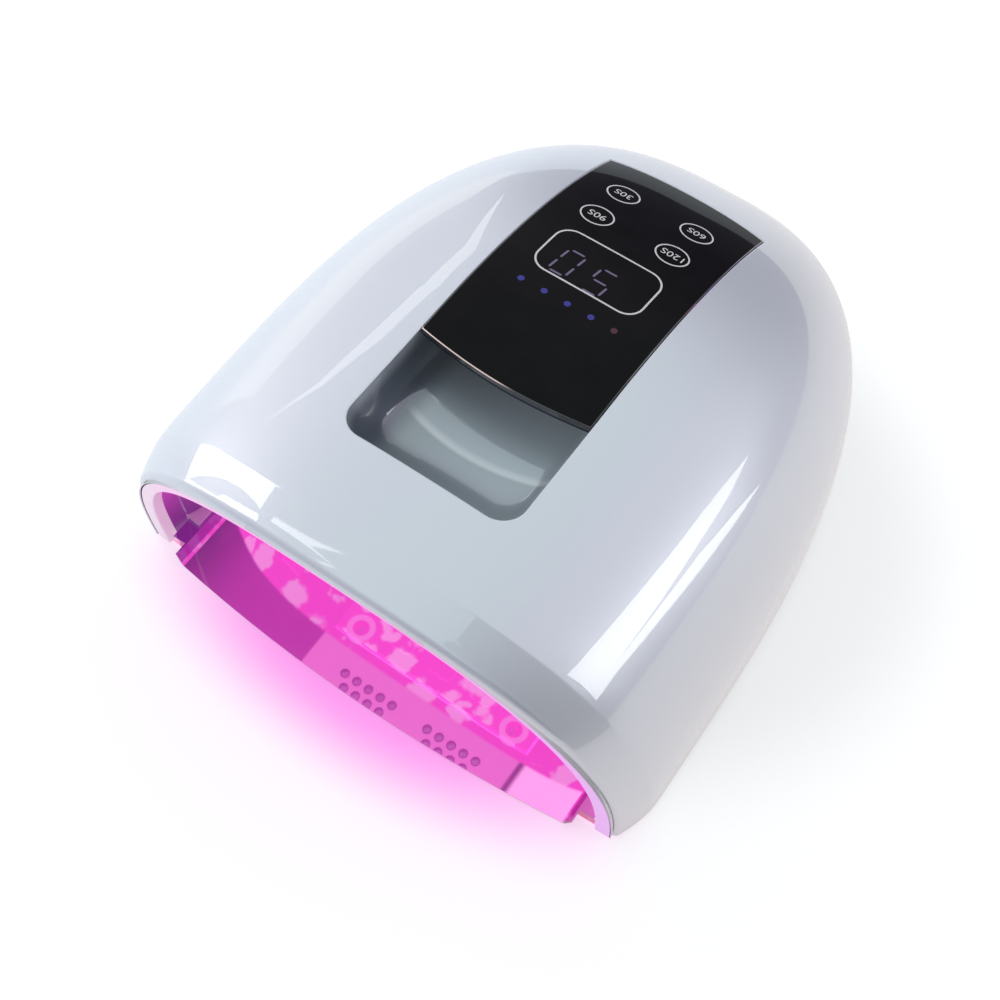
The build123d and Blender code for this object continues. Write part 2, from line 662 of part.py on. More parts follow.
# Cooling fan: a frame with a fixed spindle, and the rotor that spins on it
SPINDLE = 0.9
with BuildPart() as fan_frame:
    with BuildSketch(Plane.XY.offset(FAN_Z)):
        with Locations((FAN_X, at(FAN_DEPTH))):
            RectangleRounded(FAN_SIDE, FAN_SIDE, 2)
            Circle(12.8, mode=Mode.SUBTRACT)
    extrude(amount=7)
    with BuildSketch(Plane.XY.offset(FAN_Z)):
        with Locations((FAN_X, at(FAN_DEPTH))):
            Rectangle(27, 1.6)
            Rectangle(1.6, 27)
            Circle(5)
    extrude(amount=1.0)
    add(posts([(FAN_X, FAN_DEPTH)], SPINDLE, FAN_Z, FAN_Z + 5))
write(fan_frame, "fan_frame")

with BuildPart() as fan_rotor:
    with BuildSketch(Plane.XY.offset(FAN_Z + 1.5)):
        with Locations((FAN_X, at(FAN_DEPTH))):
            Circle(5)
            with PolarLocations(8.2, 7):
                Rectangle(7.6, 1.0, rotation=35)
            Circle(SPINDLE + 0.05, mode=Mode.SUBTRACT)
    extrude(amount=4.5)
write(fan_rotor, "fan_rotor")

# Battery cells and their cradle
CELL_RADIUS = 9.2
CELL_CENTRES = ((196.8, 13.9), (196.8, 32.6), (215.6, 13.9))
with BuildPart() as battery_cells:
    for depth, height in CELL_CENTRES:
        with BuildSketch(Plane.YZ.offset(-32.5)):
            with Locations((at(depth), height)):
                Circle(CELL_RADIUS)
        extrude(amount=65)
write(battery_cells, "battery_cells")

with BuildPart() as battery_cradle:
    add(box_between((-26, 187.2, 3.9), (26, 225.6, 4.6)))
    for x in (-24, 24):
        add(box_between((x - 1.5, 187.2, 3.9), (x + 1.5, 225.6, 14)))
        add(box_between((x - 1.5, 187.2, 3.9), (x + 1.5, 206.4, 33)))
    for depth, height in CELL_CENTRES:
        with BuildSketch(Plane.YZ.offset(-40)):
            with Locations((at(depth), height)):
                Circle(CELL_RADIUS + 0.05)
        extrude(amount=80, mode=Mode.SUBTRACT)
write(battery_cradle, "battery_cradle")

# Rear ports: charging jack and push switch
JACK_BORE = 2.85
with BuildPart() as dc_jack:
    add(box_between((-PORT_X - 4.6, 208.5, 26.4), (-PORT_X + 4.6, PORT_WALL - 2, 36.6)))
    add(barrel(-PORT_X, PORT_Z, 4.0, 215, PORT_WALL + 0.5))
    add(barrel(-PORT_X, PORT_Z, JACK_BORE, 213.5, PORT_WALL + 2), mode=Mode.SUBTRACT)
    add(barrel(-PORT_X, PORT_Z, 1.0, 213, PORT_WALL - 1))
write(dc_jack, "dc_jack")

with BuildPart() as power_switch:
    add(box_between((PORT_X - 4.6, 210, 26.9), (PORT_X + 4.6, PORT_WALL - 2, 36.1)))
    add(barrel(PORT_X, PORT_Z, 3.7, 216.5, 230), mode=Mode.SUBTRACT)
write(power_switch, "power_switch")

with BuildPart() as power_button:
    add(barrel(PORT_X, PORT_Z, 3.4, 218.5, PORT_WALL + 2.5))
    chamfer(power_button.edges().group_by(Axis.Y)[-1], 0.4)
write(power_button, "power_button")
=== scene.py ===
"""Looks for a cordless UV LED nail lamp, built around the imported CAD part.

Lengths below are millimetres in the row frame (+Z up, opening towards -Y) and are scaled to metres
when a mesh is made. "depth" is the distance behind the front opening, measured along +Y.
"""

from math import cos, pi, radians, sin

import bpy
import numpy as np
from mathutils import Matrix, Vector


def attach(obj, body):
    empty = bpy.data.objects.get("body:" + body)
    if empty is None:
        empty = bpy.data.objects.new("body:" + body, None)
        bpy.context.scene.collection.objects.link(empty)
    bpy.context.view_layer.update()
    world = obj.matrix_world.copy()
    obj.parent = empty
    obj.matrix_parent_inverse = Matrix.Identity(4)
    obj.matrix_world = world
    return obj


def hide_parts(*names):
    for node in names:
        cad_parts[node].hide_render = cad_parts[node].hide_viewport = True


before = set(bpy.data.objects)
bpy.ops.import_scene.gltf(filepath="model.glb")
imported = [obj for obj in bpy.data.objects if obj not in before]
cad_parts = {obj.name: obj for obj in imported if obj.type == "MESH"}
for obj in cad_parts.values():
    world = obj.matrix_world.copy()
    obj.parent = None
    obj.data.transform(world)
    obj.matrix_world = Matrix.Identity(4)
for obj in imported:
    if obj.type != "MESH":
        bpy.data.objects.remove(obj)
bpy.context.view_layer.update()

MM = 0.001
FORWARD = (0.0, -1.0, 0.0)
BACKWARD = (0.0, 1.0, 0.0)
UPWARD = (0.0, 0.0, 1.0)
DOWNWARD = (0.0, 0.0, -1.0)

# Housing dome, as in the CAD part
HALF_WIDTH = 101.2
TOP_HEIGHT = 97.3
DOME_LENGTH = 237.0
RIM_HALF_WIDTH = 97.5
RIM_HEIGHT = 99.4
WIDEST_DEPTH = 20.0
CROWN_DEPTH = 84.0
PLAN_POWER = 3.35
SIDE_POWER = 1.98
RIM_ROUNDNESS = 2.54
BODY_ROUNDNESS = 2.94
LEAN = -0.11
LEAN_FADE = 60.0
BOW = 3.0
FRONT_Y = -110.8
GROUND_GAP = 1.5
OPENING_HALF_WIDTH = 95.0
OPENING_HEIGHT = 93.3
RIM_PROUD = 1.5
BEZEL_GAP = 0.25

# Handle pocket and touch panel
POCKET_HALF_WIDTH = 31.35
POCKET_FRONT = 27.2
POCKET_BACK = 98.0
POCKET_FLOOR = 79.8
POCKET_CORNER = 8.5
PANEL_HALF_WIDTH = 31.2
PANEL_FRONT = 70.3
PANEL_BACK = 183.5
PANEL_FRONT_BOW = 3.5
PANEL_BACK_BOW = 2.8

# The lens cover's front screw bosses, and the liner's rows of vent holes on each side of the middle:
# the first and last hole across, and the depth
BOSS_ACROSS = 36.5
BOSS_DEPTH = 35.0
VENT_PITCH = 5.67
VENT_ROWS = ((8.4, 31.08, 17.3), (11.2, 28.21, 12.4))
VENT_END = 2.8

# Recess for the socket and the power button, low on the back
PORT_HALF = 20.0
PORT_LOW = 26.0
PORT_HIGH = 37.0
PORT_FLOOR = 222.9
PORT_CORNER = 1.0
PORT_LIP = 2.2
PORT_MIDDLE = (PORT_LOW + PORT_HIGH) / 2
PORT_HOLES = ((-10.0, 4.15), (10.0, 3.9))

# Resolution of the housing mesh
CELL = 1.3
TOP_CELLS = 48
SIDE_CELLS = 84
TAIL_ROWS = 72

# Signs and first turn of the corners of a rounded rectangle, anticlockwise
CORNERS = ((1, 1, 0), (-1, 1, 90), (-1, -1, 180), (1, -1, 270))


# ---------------------------------------------------------------- mesh helpers


def make_object(name, points, faces, material, body, normals=None, smooth=True):
    """A mesh object from points in millimetres that rides on a CAD body."""
    mesh = bpy.data.meshes.new(name)
    mesh.from_pydata((np.asarray(points, float) * MM).tolist(), [], [list(face) for face in faces])
    mesh.polygons.foreach_set("use_smooth", [smooth] * len(mesh.polygons))
    mesh.update()
    if normals is not None:
        mesh.normals_split_custom_set_from_vertices(np.asarray(normals, float).tolist())
    obj = bpy.data.objects.new(name, mesh)
    bpy.context.collection.objects.link(obj)
    mesh.materials.append(material)
    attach(obj, body)
    return obj


class Patchwork:
    """Collects grids of points with their normals, and welds the points that fall together."""

    def __init__(self):
        self.points = []
        self.normals = []
        self.faces = []
        self.count = 0

    def grid(self, points, normals, flip=False, closed=False, keep=None):
        """Adds rows of points with their normals, or one normal for all of them; keep picks which of the
        cells between them are filled."""
        points = np.asarray(points)
        rows, columns = points.shape[:2]
        index = np.arange(rows * columns).reshape(rows, columns) + self.count
        if closed:
            index = np.hstack([index, index[:, :1]])
        quads = np.stack([index[:-1, :-1], index[:-1, 1:], index[1:, 1:], index[1:, :-1]], axis=-1)
        quads = quads.reshape(-1, 4)
        if keep is not None:
            quads = quads[keep.reshape(-1)]
        if flip:
            quads = quads[:, ::-1]
        self.points.append(points.reshape(-1, 3))
        self.normals.append(np.broadcast_to(normals, points.shape).reshape(-1, 3))
        self.faces += quads.tolist()
        self.count += rows * columns

    def cap(self, points, normal):
        """Adds one flat many-sided face from points that run clockwise as seen from outside."""
        self.points.append(points)
        self.normals.append(np.broadcast_to(normal, points.shape))
        self.faces.append(list(range(self.count, self.count + len(points)))[::-1])
        self.count += len(points)

    def build(self, name, material, body):
        """Makes the object, leaving out corners and faces that the welding closes up."""
        points = np.vstack(self.points)
        normals = np.vstack(self.normals)
        keys = np.hstack([np.round(points * 500), np.round(normals * 12)]).astype(np.int64)
        _, first, inverse = np.unique(keys, axis=0, return_index=True, return_inverse=True)
        inverse = inverse.reshape(-1)
        faces = []
        for face in self.faces:
            ring = []
            for corner in face:
                corner = int(inverse[corner])
                if not ring or ring[-1] != corner:
                    ring.append(corner)
            if len(ring) > 1 and ring[0] == ring[-1]:
                ring.pop()
            if len(set(ring)) == len(ring) and len(ring) > 2:
                faces.append(ring)
        return make_object(name, points[first], faces, material, body, normals[first])


def unit(vectors):
    """Vectors scaled to length 1."""
    return vectors / np.maximum(np.linalg.norm(vectors, axis=-1, keepdims=True), 1e-9)


# ---------------------------------------------------------------- housing form


def ramp(depth):
    """1 at the front face, easing to 0 well behind it."""
    share = np.clip(depth / LEAN_FADE, 0, None)
    return np.where(share < 0.5, 1 - share, np.clip(1.5 - share, 0, None) ** 2 / 2)


def half_width(depth):
    """Half the dome's width at a depth."""
    front = HALF_WIDTH - (HALF_WIDTH - RIM_HALF_WIDTH) * np.clip(1 - depth / WIDEST_DEPTH, 0, None) ** 2
    tail = np.clip((depth - WIDEST_DEPTH) / (DOME_LENGTH - WIDEST_DEPTH), 0, 1) ** PLAN_POWER
    return front * np.sqrt(1 - tail)


def top_height(depth):
    """The dome's height at a depth."""
    tail = np.clip((depth - CROWN_DEPTH) / (DOME_LENGTH - CROWN_DEPTH), 0, 1) ** SIDE_POWER
    rise = (RIM_HEIGHT - TOP_HEIGHT) * np.clip(1 - depth / CROWN_DEPTH, 0, None) ** 2
    return TOP_HEIGHT * np.sqrt(1 - tail) + rise


def roundness(depth):
    """Power of the arch at a depth."""
    return BODY_ROUNDNESS - (BODY_ROUNDNESS - RIM_ROUNDNESS) * ramp(depth)


def superellipse(angle, half, tall, power):
    """Points (x, z) of an arch at an angle, 0 at its right foot and pi at its left one."""
    x = half * np.abs(np.cos(angle)) ** (2 / power) * np.sign(np.cos(angle))
    return x, tall * np.sin(angle) ** (2 / power)


def from_angle(depth, angle):
    """The dome's point at a depth and an arch angle."""
    x, z = superellipse(angle, half_width(depth), top_height(depth), roundness(depth))
    return np.stack([x, FRONT_Y + depth + LEAN * ramp(depth) * z, z], axis=-1)


def from_plan(x, depth):
    """The dome's point at a depth and a distance across."""
    power = roundness(depth)
    z = top_height(depth) * np.clip(1 - np.abs(x / half_width(depth)) ** power, 0, 1) ** (1 / power)
    return np.stack([x + 0 * z, FRONT_Y + depth + LEAN * ramp(depth) * z, z], axis=-1)


def row_depth(x, along):
    """The sheared row depth of the dome's point at x whose Y is along behind the front opening."""
    depth = along + 0.0 * x
    for _ in range(25):
        depth = along - LEAN * ramp(depth) * from_plan(x, depth)[..., 2]
    return depth


def on_dome(x, along):
    """The dome's point straight above a point in plan."""
    x, along = np.broadcast_arrays(np.asarray(x, float), np.asarray(along, float))
    return from_plan(x, row_depth(x, along))


def outside(points):
    """How far outside the dome points are, as the left side of its equation."""
    x, y, z = np.moveaxis(points, -1, 0)
    depth = y - FRONT_Y
    for _ in range(12):
        depth = y - FRONT_Y - LEAN * ramp(depth) * z
    depth = np.minimum(depth, DOME_LENGTH - 1e-4)
    power = roundness(depth)
    across, upward = np.abs(x / half_width(depth)), np.abs(z / top_height(depth))
    return (across ** power + upward ** power) ** (1 / power) - 1


def dome_normal(points):
    """The dome's outward normal at points on or near it."""
    step = 0.02
    slopes = []
    for axis in np.eye(3):
        slopes.append(outside(points + axis * step) - outside(points - axis * step))
    return unit(np.stack(slopes, axis=-1))


def front_depth(x, z, offset):
    """The depth coordinate Y - FRONT_Y of the bowed, leaning front face moved back by offset."""
    return offset - BOW * (1 - (x / OPENING_HALF_WIDTH) ** 2) + LEAN * z


def side_angles(depth, split):
    """Arch angles from the foot up to the point at x = split, evenly spaced along the surface."""
    power = 2 / float(roundness(depth))
    wide, tall = float(half_width(depth)), float(top_height(depth))
    start = np.arcsin(min(1.0, (GROUND_GAP / tall)) ** (1 / power))
    end = np.arccos(min(1.0, (split / wide)) ** (1 / power))
    angles = start + (end - start) * np.linspace(0, 1, 600)
    x, z = wide * np.cos(angles) ** power, tall * np.sin(angles) ** power
    run = np.concatenate([[0], np.cumsum(np.hypot(np.diff(x), np.diff(z)))])
    return np.interp(np.linspace(0, run[-1], SIDE_CELLS + 1), run, angles)


def row_angles(depth, split):
    """Arch angles of a whole row from the right foot to the left foot."""
    side = side_angles(depth, split)
    across = np.linspace(split, -split, TOP_CELLS + 1)[1:-1]
    ratio = np.abs(across / float(half_width(depth))) ** (float(roundness(depth)) / 2)
    top = np.where(across > 0, np.arccos(ratio), pi - np.arccos(ratio))
    return np.concatenate([side, top, pi - side[::-1]])


def steps(start, end, cell=CELL):
    """Even steps from start to end of about one cell."""
    return np.linspace(start, end, max(2, int(round(abs(end - start) / cell)) + 1))


# ---------------------------------------------------------------- materials


BLACK = (0.0, 0.0, 0.0)
GRAIN_SCALE = 900.0


def link(tree, source, target):
    tree.links.new(source, target)


def feed(tree, node, inputs):
    """Gives each named input of a node its source socket or its value, and returns the node."""
    for name, value in inputs.items():
        if isinstance(value, bpy.types.NodeSocket):
            link(tree, value, node.inputs[name])
        else:
            node.inputs[name].default_value = value
    return node


def shader_of(mat):
    return mat.node_tree.nodes["Principled BSDF"]


def material(name, colour, roughness_value, mottle, mottle_scale, metallic=0.0, coat=0.0,
             coat_roughness=0.03, specular=0.5, grain=0.0, rough_vary=0.05, emission=None, strength=0.0):
    """A moulded or metal finish: colour and roughness vary a little, and a fine grain can lift it."""
    mat = bpy.data.materials.new(name)
    mat.use_nodes = True
    tree = mat.node_tree
    place = tree.nodes.new("ShaderNodeTexCoord").outputs["Object"]
    noise = feed(tree, tree.nodes.new("ShaderNodeTexNoise"), {
        "Scale": mottle_scale, "Detail": 4.0, "Vector": place,
    })
    tint = feed(tree, tree.nodes.new("ShaderNodeValToRGB"), {"Fac": noise.outputs["Fac"]})
    low, high = tint.color_ramp.elements
    low.position = 0.3
    high.position = 0.7
    low.color = (*(channel * (1 - mottle) for channel in colour), 1)
    high.color = (*(min(1.0, channel * (1 + mottle)) for channel in colour), 1)
    spread = feed(tree, tree.nodes.new("ShaderNodeMapRange"), {
        "To Min": max(0.0, roughness_value - rough_vary),
        "To Max": roughness_value + rough_vary,
        "Value": noise.outputs["Fac"],
    })
    shader = feed(tree, shader_of(mat), {
        "Base Color": tint.outputs["Color"],
        "Roughness": spread.outputs["Result"],
        "Metallic": metallic,
        "Coat Weight": coat,
        "Coat Roughness": coat_roughness,
        "Specular IOR Level": specular,
        "IOR": 1.5,
    })
    if grain:
        fine = feed(tree, tree.nodes.new("ShaderNodeTexNoise"), {"Scale": GRAIN_SCALE, "Vector": place})
        bump = feed(tree, tree.nodes.new("ShaderNodeBump"), {
            "Strength": grain, "Distance": 0.0002, "Height": fine.outputs["Fac"],
        })
        link(tree, bump.outputs["Normal"], shader.inputs["Normal"])
    if emission:
        feed(tree, shader, {"Emission Color": (*emission, 1), "Emission Strength": strength})
    return mat


def mapped(tree, value, low, high):
    """A value mapped smoothly to 0..1 between low and high."""
    node = tree.nodes.new("ShaderNodeMapRange")
    node.interpolation_type = "SMOOTHSTEP"
    feed(tree, node, {"From Min": low, "From Max": high, "Value": value})
    return node.outputs["Result"]


def mixed(tree, factor, first, second):
    """A blend of two colours, each a colour or a socket."""
    node = tree.nodes.new("ShaderNodeMix")
    node.data_type = "RGBA"
    first, second = ((*colour, 1) if isinstance(colour, tuple) else colour for colour in (first, second))
    feed(tree, node, {"Factor": factor, "A": first, "B": second})
    return node.outputs["Result"]


def arithmetic(tree, operation, first, second=0.0):
    """A math node; each input is a socket or a number."""
    node = tree.nodes.new("ShaderNodeMath")
    node.operation = operation
    feed(tree, node, {0: first, 1: second})
    return node.outputs["Value"]


def product(tree, *factors):
    """The product of sockets and numbers."""
    total = factors[0]
    for factor in factors[1:]:
        total = arithmetic(tree, "MULTIPLY", total, factor)
    return total


def distance(tree, vector, point):
    """The distance of a vector socket from a point."""
    node = tree.nodes.new("ShaderNodeVectorMath")
    node.operation = "DISTANCE"
    feed(tree, node, {0: vector, 1: point})
    return node.outputs["Value"]


def axes_of(tree):
    """Object coordinates, in metres, as one socket and as three."""
    place = tree.nodes.new("ShaderNodeTexCoord").outputs["Object"]
    split = feed(tree, tree.nodes.new("ShaderNodeSeparateXYZ"), {"Vector": place})
    return place, [split.outputs[axis] for axis in "XYZ"]


def overlay(mat, share, colour):
    """Lays a colour over a material's base colour where share is 1."""
    base = shader_of(mat).inputs["Base Color"]
    link(mat.node_tree, mixed(mat.node_tree, share, base.links[0].from_socket, colour), base)


def glowing(mat, colour, strength=1.0):
    """Sets a colour socket as a material's own light."""
    feed(mat.node_tree, shader_of(mat), {"Emission Color": colour, "Emission Strength": strength})


def lens_boss(tree, x, y):
    """Distance in plan from the nearest of the two front screw bosses of the lens cover."""
    flat = feed(tree, tree.nodes.new("ShaderNodeCombineXYZ"), {"X": arithmetic(tree, "ABSOLUTE", x), "Y": y})
    return distance(tree, flat.outputs["Vector"], (BOSS_ACROSS * MM, (FRONT_Y + BOSS_DEPTH) * MM, 0.0))


def vent_marks(tree, x, y):
    """Darkness round the two rows of vent holes in the liner's front strip."""
    side = arithmetic(tree, "ABSOLUTE", x)
    marks = 0.0
    for start, last, along in VENT_ROWS:
        across = arithmetic(tree, "SUBTRACT", side, start * MM)
        across = arithmetic(tree, "PINGPONG", across, VENT_PITCH * MM / 2)
        ahead = arithmetic(tree, "SUBTRACT", y, (FRONT_Y + along) * MM)
        squares = arithmetic(tree, "ADD", product(tree, across, across), product(tree, ahead, ahead))
        near = mapped(tree, arithmetic(tree, "SQRT", squares), 0.0021, 0.0017)
        begun = mapped(tree, side, (start - VENT_END) * MM, (start - VENT_END + 0.1) * MM)
        not_ended = mapped(tree, side, (last + VENT_END) * MM, (last + VENT_END - 0.1) * MM)
        marks = arithmetic(tree, "MAXIMUM", product(tree, begun, not_ended, near), marks)
    return marks


def cavity_glow(mat, strength):
    """Paints the light in the cavity as a glow of its own: cheeks, the left one painted darker towards the
    floor, and a pale strip at the front with dim vent holes, a dark line and a painted brighter band on the
    right, and behind them a hot field of lens pads, each with a paler middle."""
    tree = mat.node_tree
    place, (x, y, z) = axes_of(tree)
    warp = feed(tree, tree.nodes.new("ShaderNodeTexNoise"), {"Scale": 150.0, "Vector": place})
    shifted = tree.nodes.new("ShaderNodeVectorMath")
    shifted.operation = "MULTIPLY_ADD"
    feed(tree, shifted, {0: warp.outputs["Color"], 1: (0.010, 0.010, 0.010), 2: place})
    pads = feed(tree, tree.nodes.new("ShaderNodeTexVoronoi"), {
        "Scale": 75.0, "Randomness": 0.6, "Vector": shifted.outputs["Vector"],
    })
    middle = mapped(tree, pads.outputs["Distance"], 0.50, 0.36)
    hot = mixed(tree, middle, (1.0, 0.075, 0.66), (1.0, 0.30, 0.80))
    boss = lens_boss(tree, x, y)
    hot = mixed(tree, mapped(tree, boss, 0.0060, 0.0055), hot, (1.0, 0.20, 0.76))
    hot = mixed(tree, mapped(tree, boss, 0.0036, 0.0031), hot, (1.0, 0.06, 0.62))
    # Painted shade: the left cheek's glow darkens towards the floor
    left_cheek = mixed(tree, mapped(tree, z, 0.004, 0.070), (0.14, 0.015, 0.17), (0.58, 0.045, 0.44))
    strip = mixed(tree, mapped(tree, x, -0.0480, -0.0470), left_cheek, (0.95, 0.18, 0.70))
    strip = mixed(tree, vent_marks(tree, x, y), strip, (0.42, 0.04, 0.36))
    outlined = mixed(tree, mapped(tree, x, 0.0445, 0.0460), strip, (0.35, 0.05, 0.30))
    # A painted brighter band on the right cheek
    band = mixed(tree, mapped(tree, x, 0.0465, 0.0490), outlined, (1.25, 0.46, 1.02))
    edge = mapped(tree, y, (FRONT_Y + 25.5) * MM, (FRONT_Y + 27.0) * MM)
    glowing(mat, mixed(tree, edge, band, hot), strength)


def bezel_glow(mat, strength):
    """Paints the pink light that the bezel takes up as its own glow, paler at its left end and violet at its
    right one.
    """
    tree = mat.node_tree
    x = axes_of(tree)[1][0]
    middle = mixed(tree, mapped(tree, x, -0.090, -0.045), (0.66, 0.48, 0.60), (0.92, 0.30, 0.78))
    glowing(mat, mixed(tree, mapped(tree, x, 0.0, 0.085), middle, (0.66, 0.28, 0.80)), strength)


def painted_tray_reflections(mat):
    """Paints onto the tray's folded sides the reflections of the dark cheeks beside them, with a faint
    painted glow on the left one.
    """
    tree = mat.node_tree
    x = axes_of(tree)[1][0]
    left = mapped(tree, x, -0.0800, -0.0804)
    overlay(mat, left, (0.30, 0.16, 0.32))
    overlay(mat, mapped(tree, x, 0.0800, 0.0804), (0.45, 0.25, 0.42))
    glowing(mat, mixed(tree, left, BLACK, (0.12, 0.012, 0.14)))


def shaded_pocket(mat):
    """Paints shade into the pocket, deeper than the skin around it, in bands that follow a bowed line across
    it:
    painted shade at the front, a pale painted highlight band along the line, painted shade behind it and
    deep painted shade on the left, and a faint painted glow that grows towards the right.
    """
    tree = mat.node_tree
    x, y, z = axes_of(tree)[1]
    outer, inner = (POCKET_HALF_WIDTH + 0.3) * MM, (POCKET_HALF_WIDTH - 0.2) * MM
    within = product(tree, mapped(tree, x, outer, inner), mapped(tree, x, -outer, -inner))
    ahead = mapped(tree, y, (FRONT_Y + PANEL_FRONT + 40) * MM, (FRONT_Y + PANEL_FRONT + 35) * MM)
    share = product(tree, within, ahead, mapped(tree, z, 0.0965, 0.0880))
    # Painted shade ahead of a bowed line, a painted highlight band along it, and painted shade behind it and
    # on the left
    line = arithmetic(tree, "SUBTRACT", y, product(tree, x, x, 7.2))
    front = (FRONT_Y + 49.0) * MM
    tone = mixed(tree, mapped(tree, line, front - 0.0016, front), (0.24, 0.28, 0.31), (0.50, 0.54, 0.57))
    tone = mixed(tree, mapped(tree, line, front + 0.0002, front + 0.0030), tone, (0.32, 0.37, 0.41))
    tone = mixed(tree, mapped(tree, x, -0.017, -0.026), tone, (0.09, 0.10, 0.14))
    overlay(mat, share, tone)
    # A faint painted glow that lightens the pocket towards the right
    fill = product(tree, share, mapped(tree, x, -0.050, 0.024))
    glowing(mat, mixed(tree, fill, BLACK, (0.075, 0.090, 0.100)))


def edge_gleam(mat):
    """A painted warm highlight, as a glow, on the left half of the panel's front bevel where it faces up."""
    tree = mat.node_tree
    x, y, _ = axes_of(tree)[1]
    facing_up = tree.nodes.new("ShaderNodeSeparateXYZ")
    feed(tree, facing_up, {"Vector": tree.nodes.new("ShaderNodeTexCoord").outputs["Normal"]})
    front = mapped(tree, y, (FRONT_Y + PANEL_FRONT + 1.0) * MM, (FRONT_Y + PANEL_FRONT + 0.5) * MM)
    left = mapped(tree, x, 0.006, -0.002)
    bevel = mapped(tree, facing_up.outputs["Z"], 0.20, 0.50)
    glowing(mat, mixed(tree, product(tree, front, left, bevel), BLACK, (0.62, 0.47, 0.43)))


PINK = (1.0, 0.115, 0.68)
HOT_PINK = (1.0, 0.30, 0.88)

pearl = material("pearl_shell", (0.72, 0.75, 0.81), 0.40, 0.015, 3500.0, metallic=0.5, coat=1.0,
                 coat_roughness=0.02, rough_vary=0.06)
shader_of(pearl).inputs["Coat IOR"].default_value = 1.95
# The pocket gets painted shade, a painted highlight band and a painted glow
shaded_pocket(pearl)
# The white bezel's pink is a painted glow
bezel_white = material("bezel_white", (0.30, 0.25, 0.30), 0.35, 0.03, 200.0, coat=0.4, coat_roughness=0.15)
bezel_glow(bezel_white, 0.75)
black_acrylic = material("black_acrylic", (0.004, 0.0035, 0.0045), 0.04, 0.3, 120.0, specular=0.10,
                         rough_vary=0.02)
acrylic_edge = material("black_acrylic_edge", (0.02, 0.018, 0.022), 0.12, 0.3, 120.0, specular=1.0,
                        coat=1.0, rough_vary=0.02)
edge_gleam(acrylic_edge)
black_plastic = material("black_plastic", (0.018, 0.018, 0.021), 0.5, 0.2, 300.0, grain=0.3)
# The print's faint glow is painted light
legend_white = material("legend_white", (0.62, 0.60, 0.60), 0.45, 0.03, 900.0, emission=(0.8, 0.78, 0.78),
                        strength=0.10)
digit_lavender = material("digit_lavender", (0.18, 0.15, 0.24), 0.4, 0.05, 900.0,
                          emission=(0.30, 0.24, 0.42), strength=0.55)
led_blue = material("led_blue", (0.02, 0.02, 0.16), 0.4, 0.1, 900.0, emission=(0.05, 0.04, 0.75),
                    strength=0.13)
led_red = material("led_red", (0.05, 0.008, 0.02), 0.4, 0.1, 900.0, emission=(0.40, 0.02, 0.09),
                   strength=0.04)
mirror_steel = material("mirror_steel", (0.86, 0.80, 0.86), 0.03, 0.01, 150.0, metallic=1.0,
                        rough_vary=0.015)
painted_tray_reflections(mirror_steel)
# The white liner and the clear lens covers carry the cavity's pink light as a painted glow
liner_painted_glow = material("liner_white", (0.06, 0.03, 0.06), 0.35, 0.04, 80.0)
cavity_glow(liner_painted_glow, 0.95)
clear_cover_glow = material("clear_cover", (0.08, 0.04, 0.07), 0.15, 0.03, 120.0)
cavity_glow(clear_cover_glow, 1.0)
led_glow = material("led_bead", (1.0, 0.7, 1.0), 0.3, 0.02, 400.0, emission=HOT_PINK, strength=3.0)
frame_white = material("frame_white", (0.80, 0.80, 0.83), 0.55, 0.03, 150.0, grain=0.3)
steel = material("screw_steel", (0.55, 0.55, 0.57), 0.3, 0.05, 400.0, metallic=1.0)
nickel = material("magnet_nickel", (0.66, 0.66, 0.67), 0.2, 0.04, 400.0, metallic=1.0)
# The lens screws' pink glow is painted light from the cavity
boss_steel = material("lens_screw_steel", (0.55, 0.35, 0.50), 0.3, 0.05, 400.0, metallic=1.0,
                      emission=(0.85, 0.08, 0.60), strength=0.6)
# The tray ears' pink tint and glow are painted reflection of the cavity's light
ear_steel = material("tray_ear_steel", (0.90, 0.62, 0.72), 0.10, 0.03, 300.0, metallic=1.0,
                     emission=(0.85, 0.35, 0.50), strength=0.45)
rubber = material("rubber_grey", (0.10, 0.10, 0.105), 0.8, 0.1, 400.0, grain=0.5)
board_green = material("board_green", (0.015, 0.10, 0.05), 0.4, 0.15, 250.0, coat=0.3)
# The white LED boards' pink glow is painted light from the beads
board_white = material("board_white", (0.85, 0.80, 0.85), 0.4, 0.03, 250.0, emission=PINK, strength=0.6)
display_grey = material("display_module", (0.03, 0.028, 0.035), 0.5, 0.1, 300.0)
foam = material("foam_grey", (0.05, 0.05, 0.055), 0.95, 0.2, 900.0, grain=1.0)
sensor = material("sensor_dark", (0.03, 0.015, 0.03), 0.15, 0.1, 300.0, coat=0.5)
component = material("component_mix", (0.05, 0.05, 0.055), 0.5, 0.25, 250.0)
fan_black = material("fan_black", (0.02, 0.02, 0.022), 0.5, 0.15, 300.0, grain=0.3)
cell_wrap = material("cell_wrap", (0.02, 0.10, 0.36), 0.25, 0.06, 90.0, coat=0.4)
button_grey = material("button_grey", (0.60, 0.62, 0.68), 0.3, 0.03, 200.0, coat=0.6)

